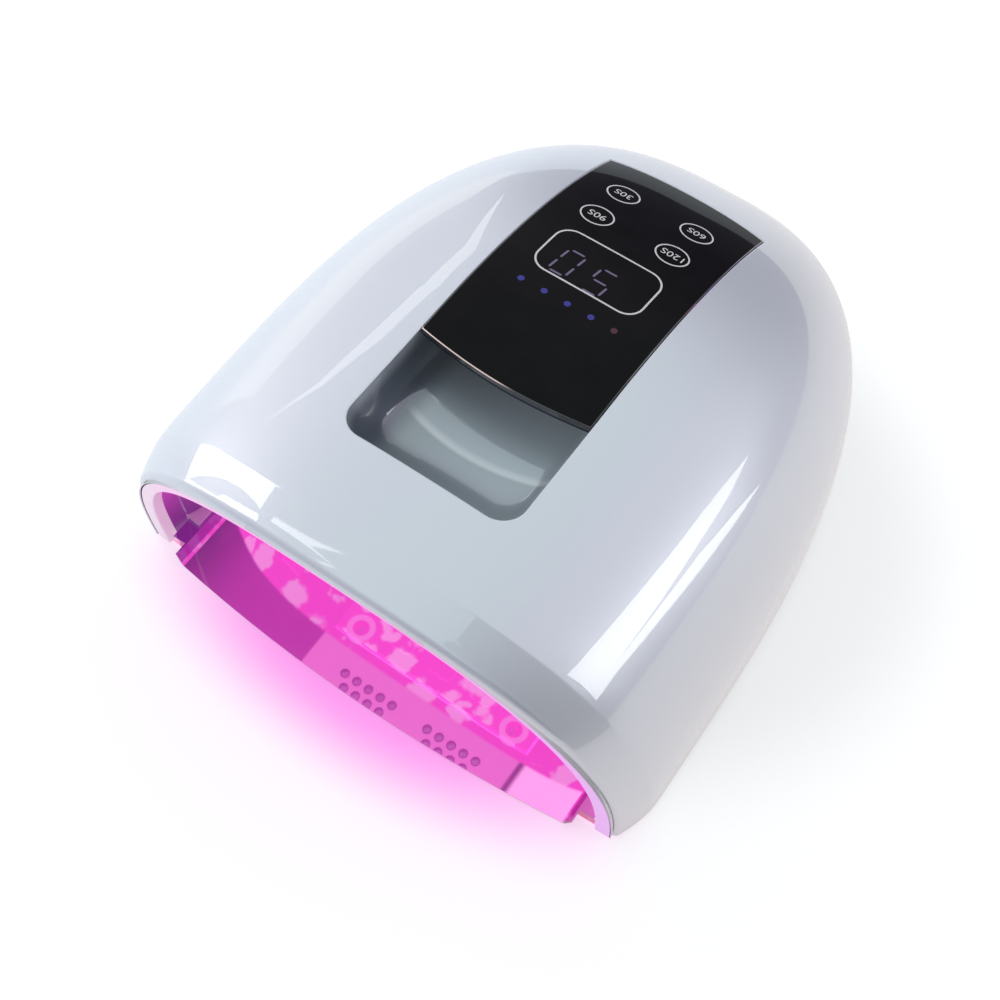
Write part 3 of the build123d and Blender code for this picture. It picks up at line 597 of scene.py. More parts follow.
node_materials = {
    "upper_shell": pearl,
    "front_bezel": bezel_white,
    "inner_liner": liner_painted_glow,
    "base_frame": frame_white,
    "base_tray": mirror_steel,
    "tray_magnets": nickel,
    "rubber_feet": rubber,
    "base_screws": steel,
    "touch_panel": black_acrylic,
    "panel_carrier": black_plastic,
    "touch_board": board_green,
    "digit_display": display_grey,
    "level_leds_blue": led_blue,
    "level_led_red": led_red,
    "touch_pads": foam,
    "lens_screws": boss_steel,
    "hand_sensors": sensor,
    "main_board": board_green,
    "main_board_parts": component,
    "battery_cells": cell_wrap,
    "battery_cradle": black_plastic,
    "dc_jack": black_plastic,
    "power_switch": black_plastic,
    "power_button": button_grey,
    "fan_frame": fan_black,
    "fan_rotor": fan_black,
}
for side in ("centre", "left", "right"):
    node_materials["led_board_" + side] = board_white
    node_materials["led_beads_" + side] = led_glow
    node_materials["lens_cover_" + side] = clear_cover_glow
for node, mat in node_materials.items():
    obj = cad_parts[node]
    if not obj.material_slots:
        obj.data.materials.append(mat)
    for place in obj.material_slots:
        place.material = mat


# ---------------------------------------------------------------- housing


SEAM_DEPTH = 20.0
REJOIN_DEPTH = 200.0
EDGE_FILLET = 0.6
RIM_ROLL = 2.6
HOLE_HALF = POCKET_HALF_WIDTH + EDGE_FILLET
HOLE_SIDE_FRONT = POCKET_FRONT + POCKET_CORNER
SEAT_GAP = 0.15
SEAT_BACK = PANEL_BACK + SEAT_GAP
HOLE_SIDE_BACK = SEAT_BACK + EDGE_FILLET


def split_at(depth):
    """Where the mesh's top part meets its side parts."""
    return HOLE_HALF * float(min(1.0, half_width(depth) / half_width(REJOIN_DEPTH)))


def hole_front(grow):
    """The pocket's front outline from the right side to the left one, as (x, depth) points."""
    half, corner = POCKET_HALF_WIDTH + grow, POCKET_CORNER + grow
    straight = half - corner
    arc = pi / 2 * corner
    middle = POCKET_FRONT + POCKET_CORNER
    points = []
    for along in np.linspace(0, 2 * straight + 2 * arc, TOP_CELLS + 1):
        if along < arc:
            turn = along / corner
            points.append((straight + corner * cos(turn), middle - corner * sin(turn)))
        elif along <= arc + 2 * straight:
            points.append((straight - (along - arc), POCKET_FRONT - grow))
        else:
            turn = pi / 2 - (along - arc - 2 * straight) / corner
            points.append((-straight - corner * cos(turn), middle - corner * sin(turn)))
    return np.array(points)


def hole_back(grow):
    """The panel seat's bowed back outline from the right side to the left one."""
    half = POCKET_HALF_WIDTH + grow
    x = np.linspace(half, -half, TOP_CELLS + 1)
    return np.stack([x, SEAT_BACK + grow + PANEL_BACK_BOW * (1 - (x / half) ** 2)], axis=-1)


shell = Patchwork()


def skin(points):
    """Adds a grid of points that lie on the dome itself."""
    shell.grid(points, dome_normal(points), flip=True)


pocket_row = float(row_depth(np.array(HOLE_HALF), HOLE_SIDE_FRONT))
seat_row = float(row_depth(np.array(HOLE_HALF), HOLE_SIDE_BACK))

# Front part: rows keep a distance behind the leaning front face, then straighten by SEAM_DEPTH.
# The collar ahead of the crease tapers in towards the rim, and its right side is shaded as if it
# sloped more.
COLLAR = 15.0
COLLAR_DROP = 1.3
COLLAR_EASE = 1.2
COLLAR_SHEEN = 1.5
SHEEN_ACROSS = 40.0
angles0 = row_angles(0.0, HOLE_HALF)


def row_behind_front(angles, behind):
    """Row depths of points that lie a distance behind the front face."""
    depth = np.full(len(angles), float(behind))
    for _ in range(40):
        point = from_angle(depth, angles)
        depth = depth + front_depth(point[:, 0], point[:, 2], behind - RIM_PROUD) - (point[:, 1] - FRONT_Y)
    return depth


def collar_slope(behind):
    """How fast the collar falls towards the rim, at a distance behind the front face."""
    return COLLAR_DROP / COLLAR * float(np.clip((COLLAR - behind) / COLLAR_EASE + 0.5, 0, 1))


front_rows, front_normals = [], []
drop = COLLAR_DROP
last_behind = 0.0
crease = COLLAR + COLLAR_EASE * np.linspace(-0.5, 0.5, 5)
for behind in np.concatenate([steps(RIM_ROLL, COLLAR - COLLAR_EASE), crease]):
    drop -= (behind - last_behind) * collar_slope((behind + last_behind) / 2)
    last_behind = behind
    depth = row_behind_front(angles0, behind)
    point = from_angle(depth, angles0)
    normal = dome_normal(point)
    rearward = unit(BACKWARD - normal * normal[:, 1:2])
    front_rows.append(point - normal * max(drop, 0.0))
    sheen = 1 + (COLLAR_SHEEN - 1) * np.clip(point[:, :1] / SHEEN_ACROSS, 0, 1)
    front_normals.append(unit(normal - rearward * collar_slope(behind) * sheen))
for share in np.linspace(0, 1, 9)[1:]:
    base = depth * (1 - share) + SEAM_DEPTH * share
    angles = angles0 * (1 - share) + row_angles(SEAM_DEPTH, HOLE_HALF) * share
    point = from_angle(base, angles)
    front_rows.append(point)
    front_normals.append(dome_normal(point))
front_rows = np.array(front_rows)
shell.grid(front_rows, front_normals, flip=True)

# Side parts run past the pocket and the panel
count = SIDE_CELLS + 1
ahead_rows = steps(SEAM_DEPTH, pocket_row)
beside_rows = steps(pocket_row, seat_row)
behind_rows = steps(seat_row, REJOIN_DEPTH)
side_depths = np.concatenate([ahead_rows, beside_rows[1:], behind_rows[1:]])
side_rows = np.array([from_angle(depth, row_angles(depth, HOLE_HALF)) for depth in side_depths])
skin(side_rows[:, :count])
skin(side_rows[:, -count:])

# Top parts reach from straight rows to the outline of the pocket and of the panel seat
straight_x = np.linspace(HOLE_HALF, -HOLE_HALF, TOP_CELLS + 1)
top_front = []
outline_front = hole_front(EDGE_FILLET)
outline_row = row_depth(outline_front[:, 0], outline_front[:, 1])
for share in np.linspace(0, 1, len(ahead_rows)):
    x = straight_x * (1 - share) + outline_front[:, 0] * share
    depth = SEAM_DEPTH * (1 - share) + outline_row * share
    top_front.append(from_plan(x, depth))
skin(np.array(top_front))
top_back = []
outline_back = hole_back(EDGE_FILLET)
outline_row = row_depth(outline_back[:, 0], outline_back[:, 1])
for share in np.linspace(0, 1, len(behind_rows)):
    x = outline_back[:, 0] * (1 - share) + straight_x * share
    depth = outline_row * (1 - share) + REJOIN_DEPTH * share
    top_back.append(from_plan(x, depth))
skin(np.array(top_back))

# Tail: rows close in on the middle of the back, at the ground line
tail_rows = []
tail_start = np.arcsin((REJOIN_DEPTH - CROWN_DEPTH) / (DOME_LENGTH - CROWN_DEPTH))
for turn in np.linspace(tail_start, pi / 2, TAIL_ROWS):
    depth = CROWN_DEPTH + (DOME_LENGTH - CROWN_DEPTH) * np.sin(turn)
    if top_height(depth) < GROUND_GAP + 0.05:
        break
    tail_rows.append(from_angle(depth, row_angles(depth, split_at(depth))))
pole = np.array([0.0, FRONT_Y + DOME_LENGTH - 0.02, GROUND_GAP])
tail_rows.append(np.tile(pole, (len(angles0), 1)))
tail_rows = np.array(tail_rows)


def back_depth(x, z):
    """Row depth of the point low on the dome's back at x and z."""
    low = np.full(np.shape(x), REJOIN_DEPTH)
    high = np.full(np.shape(x), DOME_LENGTH)
    for _ in range(40):
        middle = (low + high) / 2
        above = from_plan(x, middle)[..., 2] > z
        low, high = np.where(above, middle, low), np.where(above, high, middle)
    return low


quad_middle = (tail_rows[:-1, :-1] + tail_rows[1:, :-1] + tail_rows[1:, 1:] + tail_rows[:-1, 1:]) / 4
in_port = np.abs(quad_middle[..., 0]) < PORT_HALF + PORT_LIP / 2
in_port &= np.abs(quad_middle[..., 2] - PORT_MIDDLE) < (PORT_HIGH - PORT_LOW + PORT_LIP) / 2
in_port &= quad_middle[..., 1] > FRONT_Y + REJOIN_DEPTH + 5
tail_normals = dome_normal(tail_rows[:-1])
tail_normals = np.concatenate([tail_normals, np.broadcast_to(BACKWARD, (1, len(angles0), 3))])
shell.grid(tail_rows, tail_normals, flip=True, keep=~in_port)


def port_loop(grow, lift):
    """The port's rounded outline, grown outwards and lifted off the dome, with its outward direction."""
    half, tall = PORT_HALF - PORT_CORNER, (PORT_HIGH - PORT_LOW) / 2 - PORT_CORNER
    spots, outward = [], []
    for sx, sz, first in CORNERS:
        for turn in np.radians(np.linspace(first, first + 90, 7)):
            spots.append((sx * half, sz * tall))
            outward.append((cos(turn), sin(turn)))
    spots, outward = np.array(spots + spots[:1]), np.array(outward + outward[:1])
    fine = np.linspace(0, len(spots) - 1, 12 * (len(spots) - 1), endpoint=False)
    columns = (*spots.T, *outward.T)
    x, z, out_x, out_z = (np.interp(fine, range(len(spots)), column) for column in columns)
    x = x + out_x * (PORT_CORNER + grow)
    z = z + out_z * (PORT_CORNER + grow) + PORT_MIDDLE
    points = np.stack([x, FRONT_Y + back_depth(x, z), z], axis=-1)
    return points + dome_normal(points) * lift, np.stack([out_x, 0 * out_x, out_z], axis=-1)


# Port recess: a low rounded lip, then walls to a flat floor with a hole for the socket and the button.
# The lip's rows are given by how far out they lie, their lift off the dome and the tilt of their normals.
LIP_ROWS = ((PORT_LIP, -0.05, 0.5), (PORT_LIP - 0.5, 0.2, 0.25), (0.4, 0.2, -0.25), (0.0, -0.1, -0.9))
lip_rows, lip_normals = [], []
for grow, lift, tilt in LIP_ROWS:
    points, outward = port_loop(grow, lift)
    lip_rows.append(points)
    lip_normals.append(unit(dome_normal(points) + outward * tilt))
wall_top = lip_rows[-1]
wall_foot = wall_top * [1, 0, 1] + [0, FRONT_Y + PORT_FLOOR, 0]
shell.grid(lip_rows, lip_normals, closed=True)
shell.grid([wall_top, wall_foot], -outward, closed=True)
turn = np.linspace(0, 2 * pi, 48, endpoint=False)
to_side = PORT_HALF / 2 / np.maximum(np.abs(np.cos(turn)), 1e-6)
to_top = (PORT_HIGH - PORT_LOW) / 2 / np.maximum(np.abs(np.sin(turn)), 1e-6)
floor_y = np.full(len(turn), FRONT_Y + PORT_FLOOR)
for centre_x, hole in PORT_HOLES:
    rings = []
    for size in (np.minimum(to_side, to_top), hole):
        x, z = centre_x + size * np.cos(turn), PORT_MIDDLE + size * np.sin(turn)
        rings.append(np.stack([x, floor_y, z], axis=-1))
    shell.grid(rings, BACKWARD, closed=True)

# Rim: a roll from the skin to the leaning front face, which ends at the opening
edge = front_rows[0]
edge_normal = front_normals[0]
face_normal = unit(np.stack([
    -2 * BOW * edge[:, 0] / OPENING_HALF_WIDTH**2,
    -np.ones(len(edge)),
    np.full(len(edge), LEAN),
], axis=-1))
rim_rows, rim_normals = [], []
for turn in np.linspace(0, pi / 2, 9):
    normal = unit(edge_normal * cos(turn) + face_normal * sin(turn))
    rim_rows.append(edge - edge_normal * RIM_ROLL + normal * RIM_ROLL)
    rim_normals.append(normal)
rim_end = rim_rows[-1]
mouth_x, mouth_z = superellipse(angles0, OPENING_HALF_WIDTH, OPENING_HEIGHT, RIM_ROUNDNESS)
mouth = np.stack([mouth_x, FRONT_Y + front_depth(mouth_x, mouth_z, -RIM_PROUD), mouth_z], axis=-1)
mouth_out = unit(np.stack([
    np.sign(mouth_x) * np.abs(mouth_x / OPENING_HALF_WIDTH) ** (RIM_ROUNDNESS - 1) / OPENING_HALF_WIDTH,
    np.zeros(len(mouth)),
    np.abs(mouth_z / OPENING_HEIGHT) ** (RIM_ROUNDNESS - 1) / OPENING_HEIGHT,
], axis=-1))
MOUTH_FILLET = 0.4
MOUTH_LAND = 6.0
target = mouth + mouth_out * MOUTH_FILLET
for share in (0.35, 0.7, 1.0):
    rim_rows.append(rim_end * (1 - share) + target * share)
    rim_normals.append(face_normal)
for turn in np.linspace(0, pi / 2, 5)[1:]:
    outward = mouth_out * MOUTH_FILLET * (1 - sin(turn))
    rim_rows.append(mouth + outward + [0, MOUTH_FILLET * (1 - cos(turn)), 0])
    rim_normals.append(unit(face_normal * cos(turn) - mouth_out * sin(turn)))
rim_rows.append(mouth + [0, MOUTH_LAND, 0])
rim_normals.append(-mouth_out)
shell.grid(rim_rows, rim_normals)

# Foot: the skin's lower edge turns in under the wall, and up behind it
FOOT_WALL = 2.4
FOOT_RISE = 7.0
for column, flip in ((0, False), (-1, True)):
    line = np.concatenate([front_rows[:, column], side_rows[1:, column], tail_rows[1:, column]])
    out = dome_normal(line)
    out[:, 2] = 0
    out[-1] = BACKWARD
    out = unit(out)
    inner = line - out * FOOT_WALL
    shell.grid([line, inner], DOWNWARD, flip=flip)
    shell.grid([inner, inner + [0, 0, FOOT_RISE]], -out, flip=flip)


def rolled_edge(points, plan, radius):
    """A quarter-round edge from points on the dome down to a line in plan, and its direction across."""
    across = np.zeros_like(points)
    across[:, :2] = plan - points[:, :2]
    outer_normals, edge_in = dome_normal(points), unit(across)
    rows, normals = [], []
    for turn in np.linspace(0, pi / 2, 6):
        point = points + across * sin(turn)
        point[:, 2] = on_dome(point[:, 0], point[:, 1] - FRONT_Y)[:, 2] - radius * (1 - cos(turn))
        rows.append(point)
        normals.append(unit(outer_normals * cos(turn) + edge_in * sin(turn)))
    return rows, normals, edge_in


# Pocket and panel seat: a filleted edge, then walls down to the pocket floor or to the seat
SEAT_WALL = 3.4
first, last = len(ahead_rows) - 1, len(ahead_rows) + len(beside_rows) - 2
left_edge = side_rows[first + 1:last, -count]
right_edge = side_rows[first + 1:last, count - 1]
outer_points = np.concatenate([top_front[-1], left_edge, top_back[0][::-1], right_edge[::-1]])
inner_left = left_edge[:, :2] * [0, 1] + [-POCKET_HALF_WIDTH, 0]
inner_right = right_edge[:, :2] * [0, 1] + [POCKET_HALF_WIDTH, 0]
inner_plan = np.concatenate([
    hole_front(0.0) + [0, FRONT_Y],
    inner_left,
    hole_back(0.0)[::-1] + [0, FRONT_Y],
    inner_right[::-1],
])
edge_rows, edge_normals, edge_in = rolled_edge(outer_points, inner_plan, EDGE_FILLET)
edge_rows.append(edge_rows[-1] - [0, 0, SEAT_WALL])
edge_normals.append(edge_in)
shell.grid(edge_rows, edge_normals, closed=True, flip=True)

# Pocket tub, shared edge at the front and sides, tucked under the panel at the back
TUB_ROLL_FRONT = 18.0
TUB_ROLL = 8.0
TUB_ROWS = 28
TUCK = 3.5
TUCK_START = 84.0
TUCK_EASE = 6.0
front_line = hole_front(0.0)
tub_sides = steps(POCKET_FRONT + POCKET_CORNER, POCKET_BACK - POCKET_CORNER)[1:]


def tub_loop(roll):
    """The pocket's outline, drawn in by roll: 0 at the top, 1 on the floor."""
    half = POCKET_HALF_WIDTH - TUB_ROLL * roll
    front = POCKET_FRONT + TUB_ROLL_FRONT * roll
    back = POCKET_BACK - TUB_ROLL * roll
    straight = half - POCKET_CORNER
    full_straight = POCKET_HALF_WIDTH - POCKET_CORNER
    middle = back - POCKET_CORNER
    points = []
    for x, depth in front_line:
        if abs(x) <= full_straight:
            points.append((x * straight / full_straight, front))
        else:
            side = 1 if x > 0 else -1
            points.append((side * (straight + abs(x) - full_straight), front + depth - POCKET_FRONT))
    share = (tub_sides - POCKET_FRONT - POCKET_CORNER) / (POCKET_BACK - POCKET_FRONT - 2 * POCKET_CORNER)
    sides = front + POCKET_CORNER + share * (back - front - 2 * POCKET_CORNER)
    points += [(-half, depth) for depth in sides]
    for turn in np.linspace(0, pi / 2, 9)[1:]:
        points.append((-straight - POCKET_CORNER * cos(turn), middle + POCKET_CORNER * sin(turn)))
    for x in np.linspace(-straight, straight, 24)[1:-1]:
        points.append((x, back))
    for turn in np.linspace(pi / 2, 0, 9)[:-1]:
        points.append((straight + POCKET_CORNER * cos(turn), middle + POCKET_CORNER * sin(turn)))
    points += [(half, depth) for depth in sides[::-1]]
    return np.array(points)


def tub_out(loop):
    """Outward direction in plan along a closed loop."""
    run = np.roll(loop, -1, axis=0) - np.roll(loop, 1, axis=0)
    out = np.stack([run[:, 1], -run[:, 0], np.zeros(len(run))], axis=-1)
    return unit(out)


top_loop = tub_loop(0.0)
tub_top = on_dome(top_loop[:, 0], top_loop[:, 1])
under = np.clip((top_loop[:, 1] - TUCK_START) / TUCK_EASE, 0, 1)
tub_top[:, 2] -= EDGE_FILLET + TUCK * under
out = tub_out(top_loop)
if np.mean(np.sum(out[:, :2] * (top_loop - top_loop.mean(axis=0)), axis=-1)) < 0:
    out = -out
rise = tub_top[:, 2] - POCKET_FLOOR
forward = np.clip((POCKET_FRONT + POCKET_CORNER - top_loop[:, 1]) / POCKET_CORNER, 0, 1)
reach = TUB_ROLL + (TUB_ROLL_FRONT - TUB_ROLL) * forward
tub_rows, tub_normals = [], []
for turn in np.linspace(0, pi / 2, TUB_ROWS):
    loop = tub_loop(1 - cos(turn))
    z = POCKET_FLOOR + rise * (1 - sin(turn))
    tub_rows.append(np.stack([loop[:, 0], FRONT_Y + loop[:, 1], z], axis=-1))
    normal = -out * (rise * cos(turn))[:, None]
    normal[:, 2] = reach * sin(turn)
    tub_normals.append(unit(normal))
shell.grid(tub_rows, tub_normals, closed=True, flip=True)
shell.cap(tub_rows[-1], UPWARD)
housing = shell.build("housing_skin", pearl, "housing")
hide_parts("upper_shell")


# ---------------------------------------------------------------- front bezel


def grid_normals(points):
    """Normals of a grid of points from the points beside each one."""
    down = np.gradient(points, axis=0)
    across = np.gradient(points, axis=1)
    return unit(np.cross(across, down))


def arch(angles, half, tall, power):
    """Points (x, z) of an arch that stops at the ground gap."""
    x, z = superellipse(angles, half, tall, power)
    return x, np.maximum(z, GROUND_GAP)


def arch_row(angles, half, tall, power, behind):
    """An arch that lies a distance behind the bowed, leaning front opening."""
    x, z = arch(angles, half, tall, power)
    return np.stack([x, FRONT_Y + front_depth(x, z, behind), z], axis=-1)


# The bore's half width, height and power where it starts, how much they change along it, and its length
BORE = (89.8, 93.2, 2.54)
BORE_CHANGE = (-1.5, -9.0, 0.26)
BORE_START = -9.0
BORE_LENGTH = 19.0


def bore_row(angles, behind, grow=0.0):
    """The bezel's tapering inner flank at a distance behind its face."""
    x = OPENING_HALF_WIDTH * np.cos(angles)
    for _ in range(3):
        share = (behind - BOW * (1 - (x / OPENING_HALF_WIDTH) ** 2) - BORE_START) / BORE_LENGTH
        half, tall, power = (value + change * share for value, change in zip(BORE, BORE_CHANGE))
        x, z = arch(angles, half + grow, tall + grow, power)
    return np.stack([x, FRONT_Y + front_depth(x, z, behind), z], axis=-1)


BEZEL_EDGE = 0.45
BEZEL_FRONT = -1.2
BEZEL_FLANK = 3.0
BEZEL_BACK = 8.0
THROAT_BACK = 9.0
bezel_half, bezel_tall = OPENING_HALF_WIDTH - BEZEL_GAP, OPENING_HEIGHT - BEZEL_GAP
bezel = Patchwork()


def bezel_row(shrink, behind):
    """The bezel's outline, drawn in by shrink, at a distance behind the front opening."""
    return arch_row(angles0, bezel_half - shrink, bezel_tall - shrink, RIM_ROUNDNESS, behind)


outer_wall = [bezel_row(0.0, behind) for behind in (BEZEL_BACK, BEZEL_FRONT + BEZEL_EDGE)]
outer_bevel, inner_bevel = [], []
for turn in np.linspace(0, pi / 2, 5):
    early, late = BEZEL_EDGE * (1 - cos(turn)), BEZEL_EDGE * (1 - sin(turn))
    outer_bevel.append(bezel_row(early, BEZEL_FRONT + late))
    inner_bevel.append(bore_row(angles0, BEZEL_FRONT + early, late))
flank = [bore_row(angles0, behind) for behind in np.linspace(BEZEL_FRONT + BEZEL_EDGE, BEZEL_FLANK, 5)]
for rows in (outer_wall, outer_bevel, [outer_bevel[-1], inner_bevel[0]], inner_bevel, flank):
    rows = np.array(rows)
    bezel.grid(rows, grid_normals(rows))
bezel_ring = bezel.build("bezel_ring", bezel_white, "housing")
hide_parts("front_bezel")

# A dark sheet just inside the fine gap between the rim and the bezel, as painted shade
gap = Patchwork()
gap_rows = [bezel_row(shrink, BEZEL_FRONT + 0.15) for shrink in (-BEZEL_GAP - 0.05, 0.08)]
gap.grid(gap_rows, FORWARD, flip=True)
gap_shade_sheet = gap.build("rim_gap_shade_sheet", black_acrylic, "housing")
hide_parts("front_bezel")

# Behind the bezel's flank the bore takes the liner's painted pink glow
throat = Patchwork()
throat_rows = np.array([bore_row(angles0, behind) for behind in np.linspace(BEZEL_FLANK, THROAT_BACK, 6)])
throat.grid(throat_rows, grid_normals(throat_rows))
bezel_throat = throat.build("bezel_throat", liner_painted_glow, "housing")
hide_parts("front_bezel")


# ---------------------------------------------------------------- tray


EAR_START = 79.5
EAR_LENGTH = 12.5
EAR_WIDTH = 9.0
EAR_TOP = 1.3
EAR_SHEET = 0.8
for side, name in ((-1, "tray_ear_left"), (1, "tray_ear_right")):
    across = np.linspace(EAR_START, EAR_START + EAR_LENGTH, 14)
    front_edge = FRONT_Y + front_depth(across, 1.0, 0.3)
    back_edge = front_edge + EAR_WIDTH * (1 - (across - EAR_START) / EAR_LENGTH) ** 2 + 0.2
    outline = [(side * x, y) for x, y in zip(across, front_edge)]
    outline += [(side * x, y) for x, y in zip(across[::-1], back_edge[::-1])]
    if side > 0:
        outline = outline[::-1]
    count_ear = len(outline)
    ear_points = [(x, y, z) for z in (EAR_TOP, EAR_TOP - EAR_SHEET) for x, y in outline]
    ear_faces = [tuple(range(count_ear - 1, -1, -1)), tuple(range(count_ear, 2 * count_ear))]
    for index in range(count_ear):
        after = (index + 1) % count_ear
        ear_faces.append((index, after, after + count_ear, index + count_ear))
    make_object(name, ear_points, ear_faces, ear_steel, "tray", smooth=False)


# ---------------------------------------------------------------- touch panel


PANEL_EDGE = 0.35
PANEL_DROP = 2.0
PANEL_ROWS = 80
PANEL_CELLS = 40


def panel_outline(inset):
    """The panel's front line, rear line and closed outline in plan, as (x, along) points."""
    half = PANEL_HALF_WIDTH - inset
    x = np.linspace(half, -half, PANEL_CELLS + 1)
    bow = 1 - (x / PANEL_HALF_WIDTH) ** 2
    front = np.stack([x, PANEL_FRONT + inset - PANEL_FRONT_BOW * bow], axis=-1)
    rear = np.stack([x, PANEL_BACK - inset + PANEL_BACK_BOW * bow], axis=-1)
    share = np.linspace(0, 1, PANEL_ROWS)[1:-1, None]
    left = front[-1] * (1 - share) + rear[-1] * share
    return front, rear, np.concatenate([front, left, rear[::-1], left[::-1] * [-1, 1]])


panel = Patchwork()
front, rear, loop = panel_outline(PANEL_EDGE)
share = np.linspace(0, 1, PANEL_ROWS)[:, None, None]
plan = front[None] * (1 - share) + rear[None] * share
top = on_dome(plan[..., 0], plan[..., 1])
panel.grid(top, dome_normal(top), flip=True)
outer = panel_outline(0.0)[2] + [0, FRONT_Y]
panel_rows, panel_normals, step_out = rolled_edge(on_dome(loop[:, 0], loop[:, 1]), outer, PANEL_EDGE)
panel_edge = Patchwork()
panel_edge.grid(panel_rows, panel_normals, closed=True)
wall = [panel_rows[-1], panel_rows[-1] - [0, 0, PANEL_DROP - PANEL_EDGE]]
panel_edge.grid(wall, step_out, closed=True)
panel_top = panel.build("touch_panel_glass", black_acrylic, "housing")
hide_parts("touch_panel")
panel_rim = panel_edge.build("touch_panel_edge", acrylic_edge, "housing")
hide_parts("touch_panel")


PRINT_LIFT = 0.03
GLOW_LIFT = 0.02


def lay(name, points, faces, mat, lift):
    """Lays a flat piece, given by its (x, along) points, just above the dome."""
    points = np.array(points)
    surface = on_dome(points[:, 0], points[:, 1])
    normals = dome_normal(surface)
    return make_object(name, surface + normals * lift, faces, mat, "housing", normals)


def printed(name, outlines, mat, lift=PRINT_LIFT):
    """Thin printing on the panel: strips between pairs of plan lines."""
    points, faces = [], []
    for first, second in outlines:
        start = len(points)
        for one, two in zip(first, second):
            points += [one, two]
        for step_index in range(len(first) - 1):
            low = start + 2 * step_index
            faces.append((low, low + 1, low + 3, low + 2))
    return lay(name, points, faces, mat, lift)


def ring(centre, half_x, half_y, width):
    """An oval line as a pair of plan curves."""
    turn = np.linspace(0, 2 * pi, 49)
    lines = []
    for side in (-0.5, 0.5):
        lines.append(np.stack([
            centre[0] + (half_x + side * width) * np.cos(turn),
            centre[1] + (half_y + side * width) * np.sin(turn),
        ], axis=-1))
    return lines


def round_frame(half_x, low, high, corner, width):
    """A rounded rectangular line as a pair of plan curves."""
    lines = []
    for side in (-0.5, 0.5):
        radius = corner + side * width
        curve = []
        for sx, sy, first in CORNERS:
            middle = np.array([sx * (half_x - corner), high - corner if sy > 0 else low + corner])
            for turn in np.radians(np.linspace(first, first + 90, 9)):
                curve.append(middle + radius * np.array([cos(turn), sin(turn)]))
        curve.append(curve[0])
        fine = np.linspace(0, len(curve) - 1, 8 * len(curve))
        columns = [np.interp(fine, range(len(curve)), column) for column in zip(*curve)]
        lines.append(np.stack(columns, axis=-1))
    return lines


KEYS = {"30S": (-15.0, 164.3), "60S": (14.0, 164.4), "90S": (-14.9, 146.6), "120S": (14.1, 147.0)}
KEY_HALF_X = 5.9
KEY_HALF_Y = 4.9
KEY_LINE = 0.56
FRAME_HALF = 19.8
FRAME_LOW = 112.2
FRAME_HIGH = 134.4
FRAME_CORNER = 6.0
FRAME_LINE = 0.66
outlines = [ring(centre, KEY_HALF_X, KEY_HALF_Y, KEY_LINE) for centre in KEYS.values()]
outlines.append(round_frame(FRAME_HALF, FRAME_LOW, FRAME_HIGH, FRAME_CORNER, FRAME_LINE))
printed("key_outlines", outlines, legend_white)


def legend(text, centre, height, stretch):
    """Timer numbers printed on the panel, reading from the back."""
    curve = bpy.data.curves.new("legend_" + text, "FONT")
    curve.body = text
    curve.align_x = "CENTER"
    curve.align_y = "CENTER"
    curve.size = 1.0
    curve.resolution_u = 6
    holder = bpy.data.objects.new("legend_text", curve)
    bpy.context.collection.objects.link(holder)
    flat = bpy.data.meshes.new_from_object(holder.evaluated_get(bpy.context.evaluated_depsgraph_get()))
    spots = np.array([vertex.co[:2] for vertex in flat.vertices])
    faces = [tuple(polygon.vertices) for polygon in flat.polygons]
    bpy.data.objects.remove(holder)
    bpy.data.curves.remove(curve)
    bpy.data.meshes.remove(flat)
    low, high = spots.min(axis=0), spots.max(axis=0)
    scale = height / (high[1] - low[1])
    spots = (spots - (low + high) / 2) * [scale * stretch, scale]
    return lay("legend_" + text, centre - spots, faces, legend_white, PRINT_LIFT)


LEGEND_HEIGHT = 2.9
LEGEND_STRETCH = 1.15
for text, centre in KEYS.items():
    legend(text, centre, LEGEND_HEIGHT, LEGEND_STRETCH)

# Seven-segment digits glow faintly through the black panel, the level lights below them
DIGITS = (("abcdef", (-9.6, 119.6)), ("acdfg", (3.2, 118.9)))
DIGIT_HALF = 3.2
DIGIT_TALL = 6.0
STROKE = 0.75
SLANT = 0.10


def segment_lines(letter, centre):
    """One segment as a pair of plan lines."""
    x, y = DIGIT_HALF, DIGIT_TALL
    ends = {
        "a": ((-x, y), (x, y)),
        "b": ((x, y), (x, 0)),
        "c": ((x, 0), (x, -y)),
        "d": ((-x, -y), (x, -y)),
        "e": ((-x, 0), (-x, -y)),
        "f": ((-x, y), (-x, 0)),
        "g": ((-x, 0), (x, 0)),
    }[letter]
    start, end = np.array(ends[0], float), np.array(ends[1], float)
    run = (end - start) / np.linalg.norm(end - start)
    aside = np.array([-run[1], run[0]])
    lines = []
    for side in (-1, 1):
        line = []
        for share, taper in ((0.12, 0.0), (0.2, 1.0), (0.8, 1.0), (0.88, 0.0)):
            spot = start + (end - start) * share + aside * side * taper * STROKE / 2
            spot = spot + [spot[1] * SLANT, 0]
            line.append(np.array(centre) + spot)
        lines.append(np.array(line))
    return lines


digit_outlines = []
for letters, centre in DIGITS:
    digit_outlines += [segment_lines(letter, centre) for letter in letters]
printed("display_digits", digit_outlines, digit_lavender, GLOW_LIFT)

LEVEL_X = (-17.4, -8.6, 0.1, 8.9, 17.5)
LEVEL_ALONG = 104.6
LEVEL_RADIUS = 1.15


def dots(name, spots, mat):
    """Round lights seen through the panel."""
    points, faces = [], []
    count = 20
    for x, along in spots:
        start = len(points)
        for turn in np.linspace(0, 2 * pi, count, endpoint=False):
            points.append((x + LEVEL_RADIUS * cos(turn), along + LEVEL_RADIUS * sin(turn)))
        faces.append(tuple(range(start, start + count)))
    return lay(name, points, faces, mat, GLOW_LIFT)


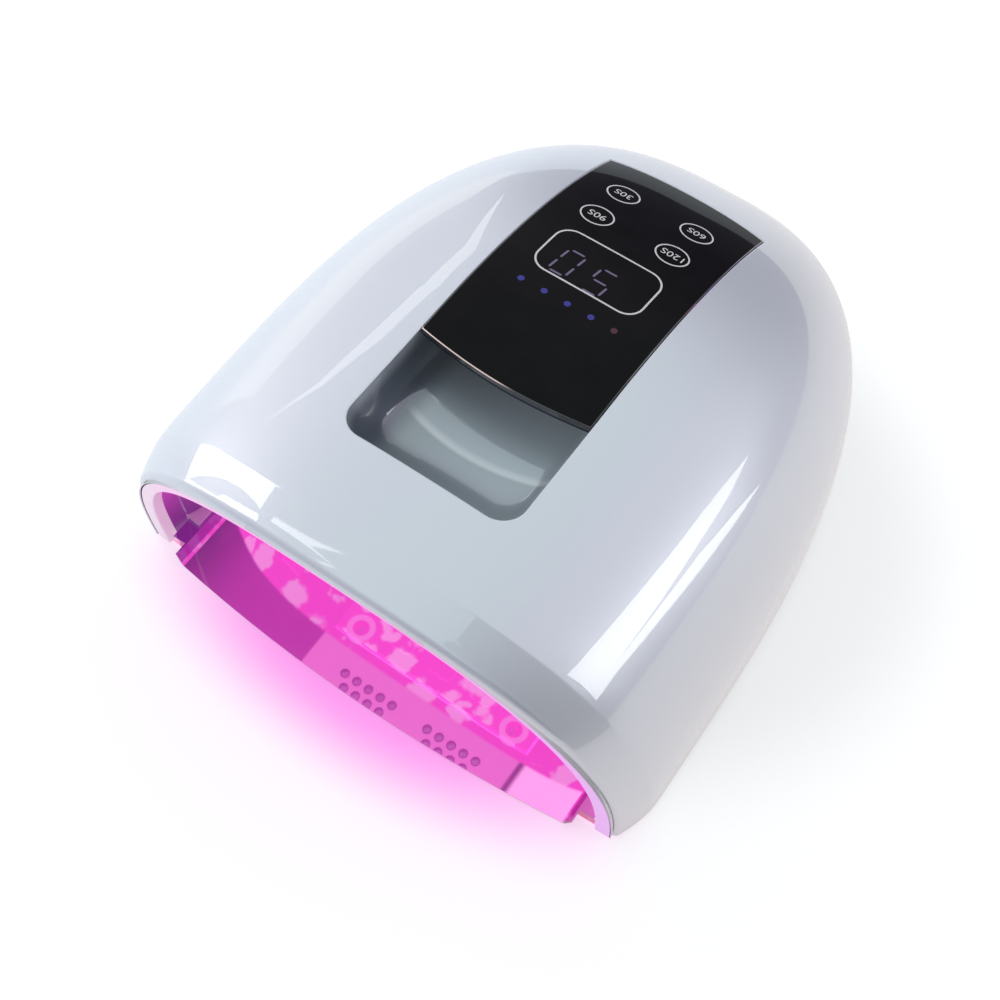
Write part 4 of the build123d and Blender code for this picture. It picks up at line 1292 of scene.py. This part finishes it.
dots("level_lights_blue", [(x, LEVEL_ALONG) for x in LEVEL_X[:4]], led_blue)
dots("level_light_red", [(LEVEL_X[4], LEVEL_ALONG)], led_red)


# ---------------------------------------------------------------- camera, floor and light


CAMERA_AZIMUTH = 31.016
CAMERA_ELEVATION = 60.072
CAMERA_ROLL = 4.233
CAMERA_DISTANCE = 496.32
CAMERA_TARGET = Vector((6.57, 61.92 + FRONT_Y, 40.0))
CAMERA_LENS = 53.82


def aim(azimuth, elevation):
    """The direction from the target towards an azimuth and elevation, in degrees."""
    a, e = radians(azimuth), radians(elevation)
    return Vector((sin(a) * cos(e), -cos(a) * cos(e), sin(e)))


back = aim(CAMERA_AZIMUTH, CAMERA_ELEVATION)
right = Vector((0, 0, 1)).cross(back).normalized()
up = back.cross(right)
roll = radians(CAMERA_ROLL)
right, up = right * cos(roll) + up * sin(roll), up * cos(roll) - right * sin(roll)
camera_data = bpy.data.cameras.new("camera")
camera_data.lens = CAMERA_LENS
camera_data.sensor_width = 36.0
camera_data.clip_start = 0.01
camera = bpy.data.objects.new("camera", camera_data)
camera.matrix_world = Matrix.Translation((CAMERA_TARGET + back * CAMERA_DISTANCE) * MM) @ Matrix((
    (right.x, up.x, back.x, 0),
    (right.y, up.y, back.y, 0),
    (right.z, up.z, back.z, 0),
    (0, 0, 0, 1),
))
bpy.context.collection.objects.link(camera)
bpy.context.scene.camera = camera
bpy.context.scene.view_settings.view_transform = "Standard"
bpy.context.scene.view_settings.look = "None"


SOFT_BOX_DISTANCE = 600.0


def soft_box(name, strength, corners):
    """A soft box. Each corner is given by a point on the lamp, as x, depth and z, and by the azimuth and
    elevation at which the corner is seen from there."""
    spots = []
    for x, depth, z, azimuth, elevation in corners:
        spot = Vector((x, FRONT_Y + depth, z)) + aim(azimuth, elevation) * SOFT_BOX_DISTANCE
        spots.append(spot * MM)
    mesh = bpy.data.meshes.new(name)
    mesh.from_pydata(spots, [], [tuple(range(len(spots)))])
    mat = bpy.data.materials.new(name)
    mat.use_nodes = True
    tree = mat.node_tree
    tree.nodes.clear()
    glow = feed(tree, tree.nodes.new("ShaderNodeEmission"), {"Color": (1, 1, 1, 1), "Strength": strength})
    output = tree.nodes.new("ShaderNodeOutputMaterial")
    link(tree, glow.outputs["Emission"], output.inputs["Surface"])
    mesh.materials.append(mat)
    box = bpy.data.objects.new(name, mesh)
    box.visible_camera = False
    box.visible_shadow = False
    bpy.context.collection.objects.link(box)


# The broad forked highlight down the right flank
soft_box("right_box", 3.1, [
    (67, 5, 84, 106, 33),
    (70, 39, 84, 117, 31),
    (71, 71, 84, 124, 28),
    (72, 99, 82, 133, 19),
    (75, 62, 80, 120, 20),
    (76, 39, 79, 114.5, 18.4),
    (76, 18, 79, 110, 17),
    (77, 39, 79, 114, 17),
    (77, 62, 78, 118.5, 16),
    (79, 97, 76, 128, 4),
    (79, 62, 77, 118, 9),
    (78, 39, 78, 113, 11.5),
    (78, 20, 78, 109, 13),
    (77, 4, 77, 102, 12),
])
# A grey flag that keeps the right front edge dark
soft_box("right_flag", 0.24, [
    (82, 4, 69, 93, -4),
    (73, 2, 79, 93, 19),
    (61, 0, 88, 98, 44),
    (48, -1, 93, 109, 64),
    (36, 0, 96, 145, 76),
    (35, -12, 96, 105, 75),
    (48, -11, 92, 86, 62),
    (61, -10, 86, 76, 38),
    (71, -9, 78, 72, 14),
    (80, -7, 68, 70, -9),
])
# The bright patch on the left shoulder, and its tail over the top
soft_box("left_box", 3.4, [
    (-62, -7, 86, -94, 5),
    (-31, -8, 97, -107, 47),
    (-33, -2, 96, -116, 48),
    (-64, 1, 85, -105, 5),
])
soft_box("left_box_tail", 3.0, [
    (-27, -9, 98, -107, 50),
    (-5, -8, 99, -130, 66),
    (-26, -4, 97, -110, 52),
])
# The low highlight along the left flank, and the thin leaf-shaped line above it
soft_box("left_low_box", 1.25, [
    (-51, 150, 82, -144, -3),
    (-54, 129, 82, -137, 6),
    (-60, 103, 82, -127, 9),
    (-62, 73, 82, -118, 13),
    (-61, 22, 84, -111, 12),
    (-61, 22, 84, -108, -6),
    (-62, 73, 82, -118, -6),
    (-51, 150, 82, -146, -6),
])
soft_box("leaf_strip", 1.9, [
    (-45, 150, 85, -143, 10),
    (-42, 125, 90, -137, 30),
    (-44, 100, 91, -128, 38),
    (-46, 75, 92, -124, 37),
    (-48, 50, 92, -118, 34),
    (-52, 25, 90, -112, 26),
    (-48, 50, 92, -119, 36),
    (-46, 75, 92, -126, 41),
    (-44, 100, 91, -131, 42),
    (-42, 125, 90, -140, 33),
])


def facing(tree, vector, azimuth, elevation):
    """Cosine of the angle between a vector and a direction."""
    node = tree.nodes.new("ShaderNodeVectorMath")
    node.operation = "DOT_PRODUCT"
    feed(tree, node, {0: vector, 1: aim(azimuth, elevation)})
    return node.outputs["Value"]


# World: a plain studio, brighter on the left. Each further tone is centred on a direction, given by its
# azimuth and elevation, and grows from nothing to full between two cosines of the angle to it.
world = bpy.data.worlds.new("studio")
world.use_nodes = True
bpy.context.scene.world = world
sky = world.node_tree
direction = sky.nodes.new("ShaderNodeTexCoord").outputs["Generated"]
side = mapped(sky, facing(sky, direction, -115, 0), -0.8, 0.9)
colour = mixed(sky, side, (0.36, 0.36, 0.43), (0.80, 0.80, 0.87))
for azimuth, elevation, low, high, tone in (
    (172, 78, 0.66, 0.98, (0.80, 0.91, 0.91)),
    (-176, 0, 0.72, 0.98, (0.22, 0.21, 0.26)),
    (127, 38, 0.86, 0.985, (0.92, 0.89, 0.99)),
    (75, 18, 0.72, 0.95, (0.10, 0.10, 0.13)),
):
    colour = mixed(sky, mapped(sky, facing(sky, direction, azimuth, elevation), low, high), colour, tone)
feed(sky, sky.nodes["Background"], {"Color": colour, "Strength": 1.0})

# Floor: plain white, with a painted pool of the lamp's pink light spilling out of the opening. The camera
# sees it a little darker round the lamp, a painted shadow; what it throws back at the lamp is cooler on the
# left.
FLOOR_REACH = 3.0
SPILL_REACH = (0.105, 0.040, 1)
SHADE_MIDDLE = (0.045, 0.0, 0.0)
floor_mat = bpy.data.materials.new("studio_floor")
floor_mat.use_nodes = True
floor_tree = floor_mat.node_tree
place, (across, _, _) = axes_of(floor_tree)
# Painted pool of pink light, fading with distance from the opening
spill = floor_tree.nodes.new("ShaderNodeMapping")
spill.vector_type = "TEXTURE"
feed(floor_tree, spill, {"Vector": place, "Location": (0.0, FRONT_Y * MM, 0), "Scale": SPILL_REACH})
away = mapped(floor_tree, distance(floor_tree, spill.outputs["Vector"], (0.0, 0.0, 0.0)), 0.3, 1.1)
tint = mixed(floor_tree, away, (1.0, 0.25, 0.85), (1.0, 1.0, 1.0))
bright_side = mapped(floor_tree, across, 0.10, -0.25)
bounced = mixed(floor_tree, bright_side, (0.54, 0.50, 0.48), (0.62, 0.68, 0.74))
# Painted shadow round the lamp, seen by the camera only
shade = mapped(floor_tree, distance(floor_tree, place, SHADE_MIDDLE), 0.075, 0.125)
seen = mixed(floor_tree, shade, (0.60, 0.60, 0.60), (0.73, 0.73, 0.73))
path = floor_tree.nodes.new("ShaderNodeLightPath")
white = mixed(floor_tree, path.outputs["Is Camera Ray"], bounced, seen)
lit = floor_tree.nodes.new("ShaderNodeMix")
lit.data_type = "RGBA"
lit.blend_type = "MULTIPLY"
feed(floor_tree, lit, {"Factor": 1.0, "A": white, "B": tint})
feed(floor_tree, shader_of(floor_mat), {
    "Emission Color": lit.outputs["Result"],
    "Emission Strength": 1.0,
    "Base Color": (0.42, 0.42, 0.42, 1),
    "Roughness": 1.0,
    "Specular IOR Level": 0.0,
})
floor_mesh = bpy.data.meshes.new("studio_floor")
corners = [(sx * FLOOR_REACH, sy * FLOOR_REACH, 0) for sx, sy, _ in CORNERS]
floor_mesh.from_pydata(corners, [], [(0, 1, 2, 3)])
floor_mesh.materials.append(floor_mat)
floor = bpy.data.objects.new("studio_floor", floor_mesh)
bpy.context.collection.objects.link(floor)
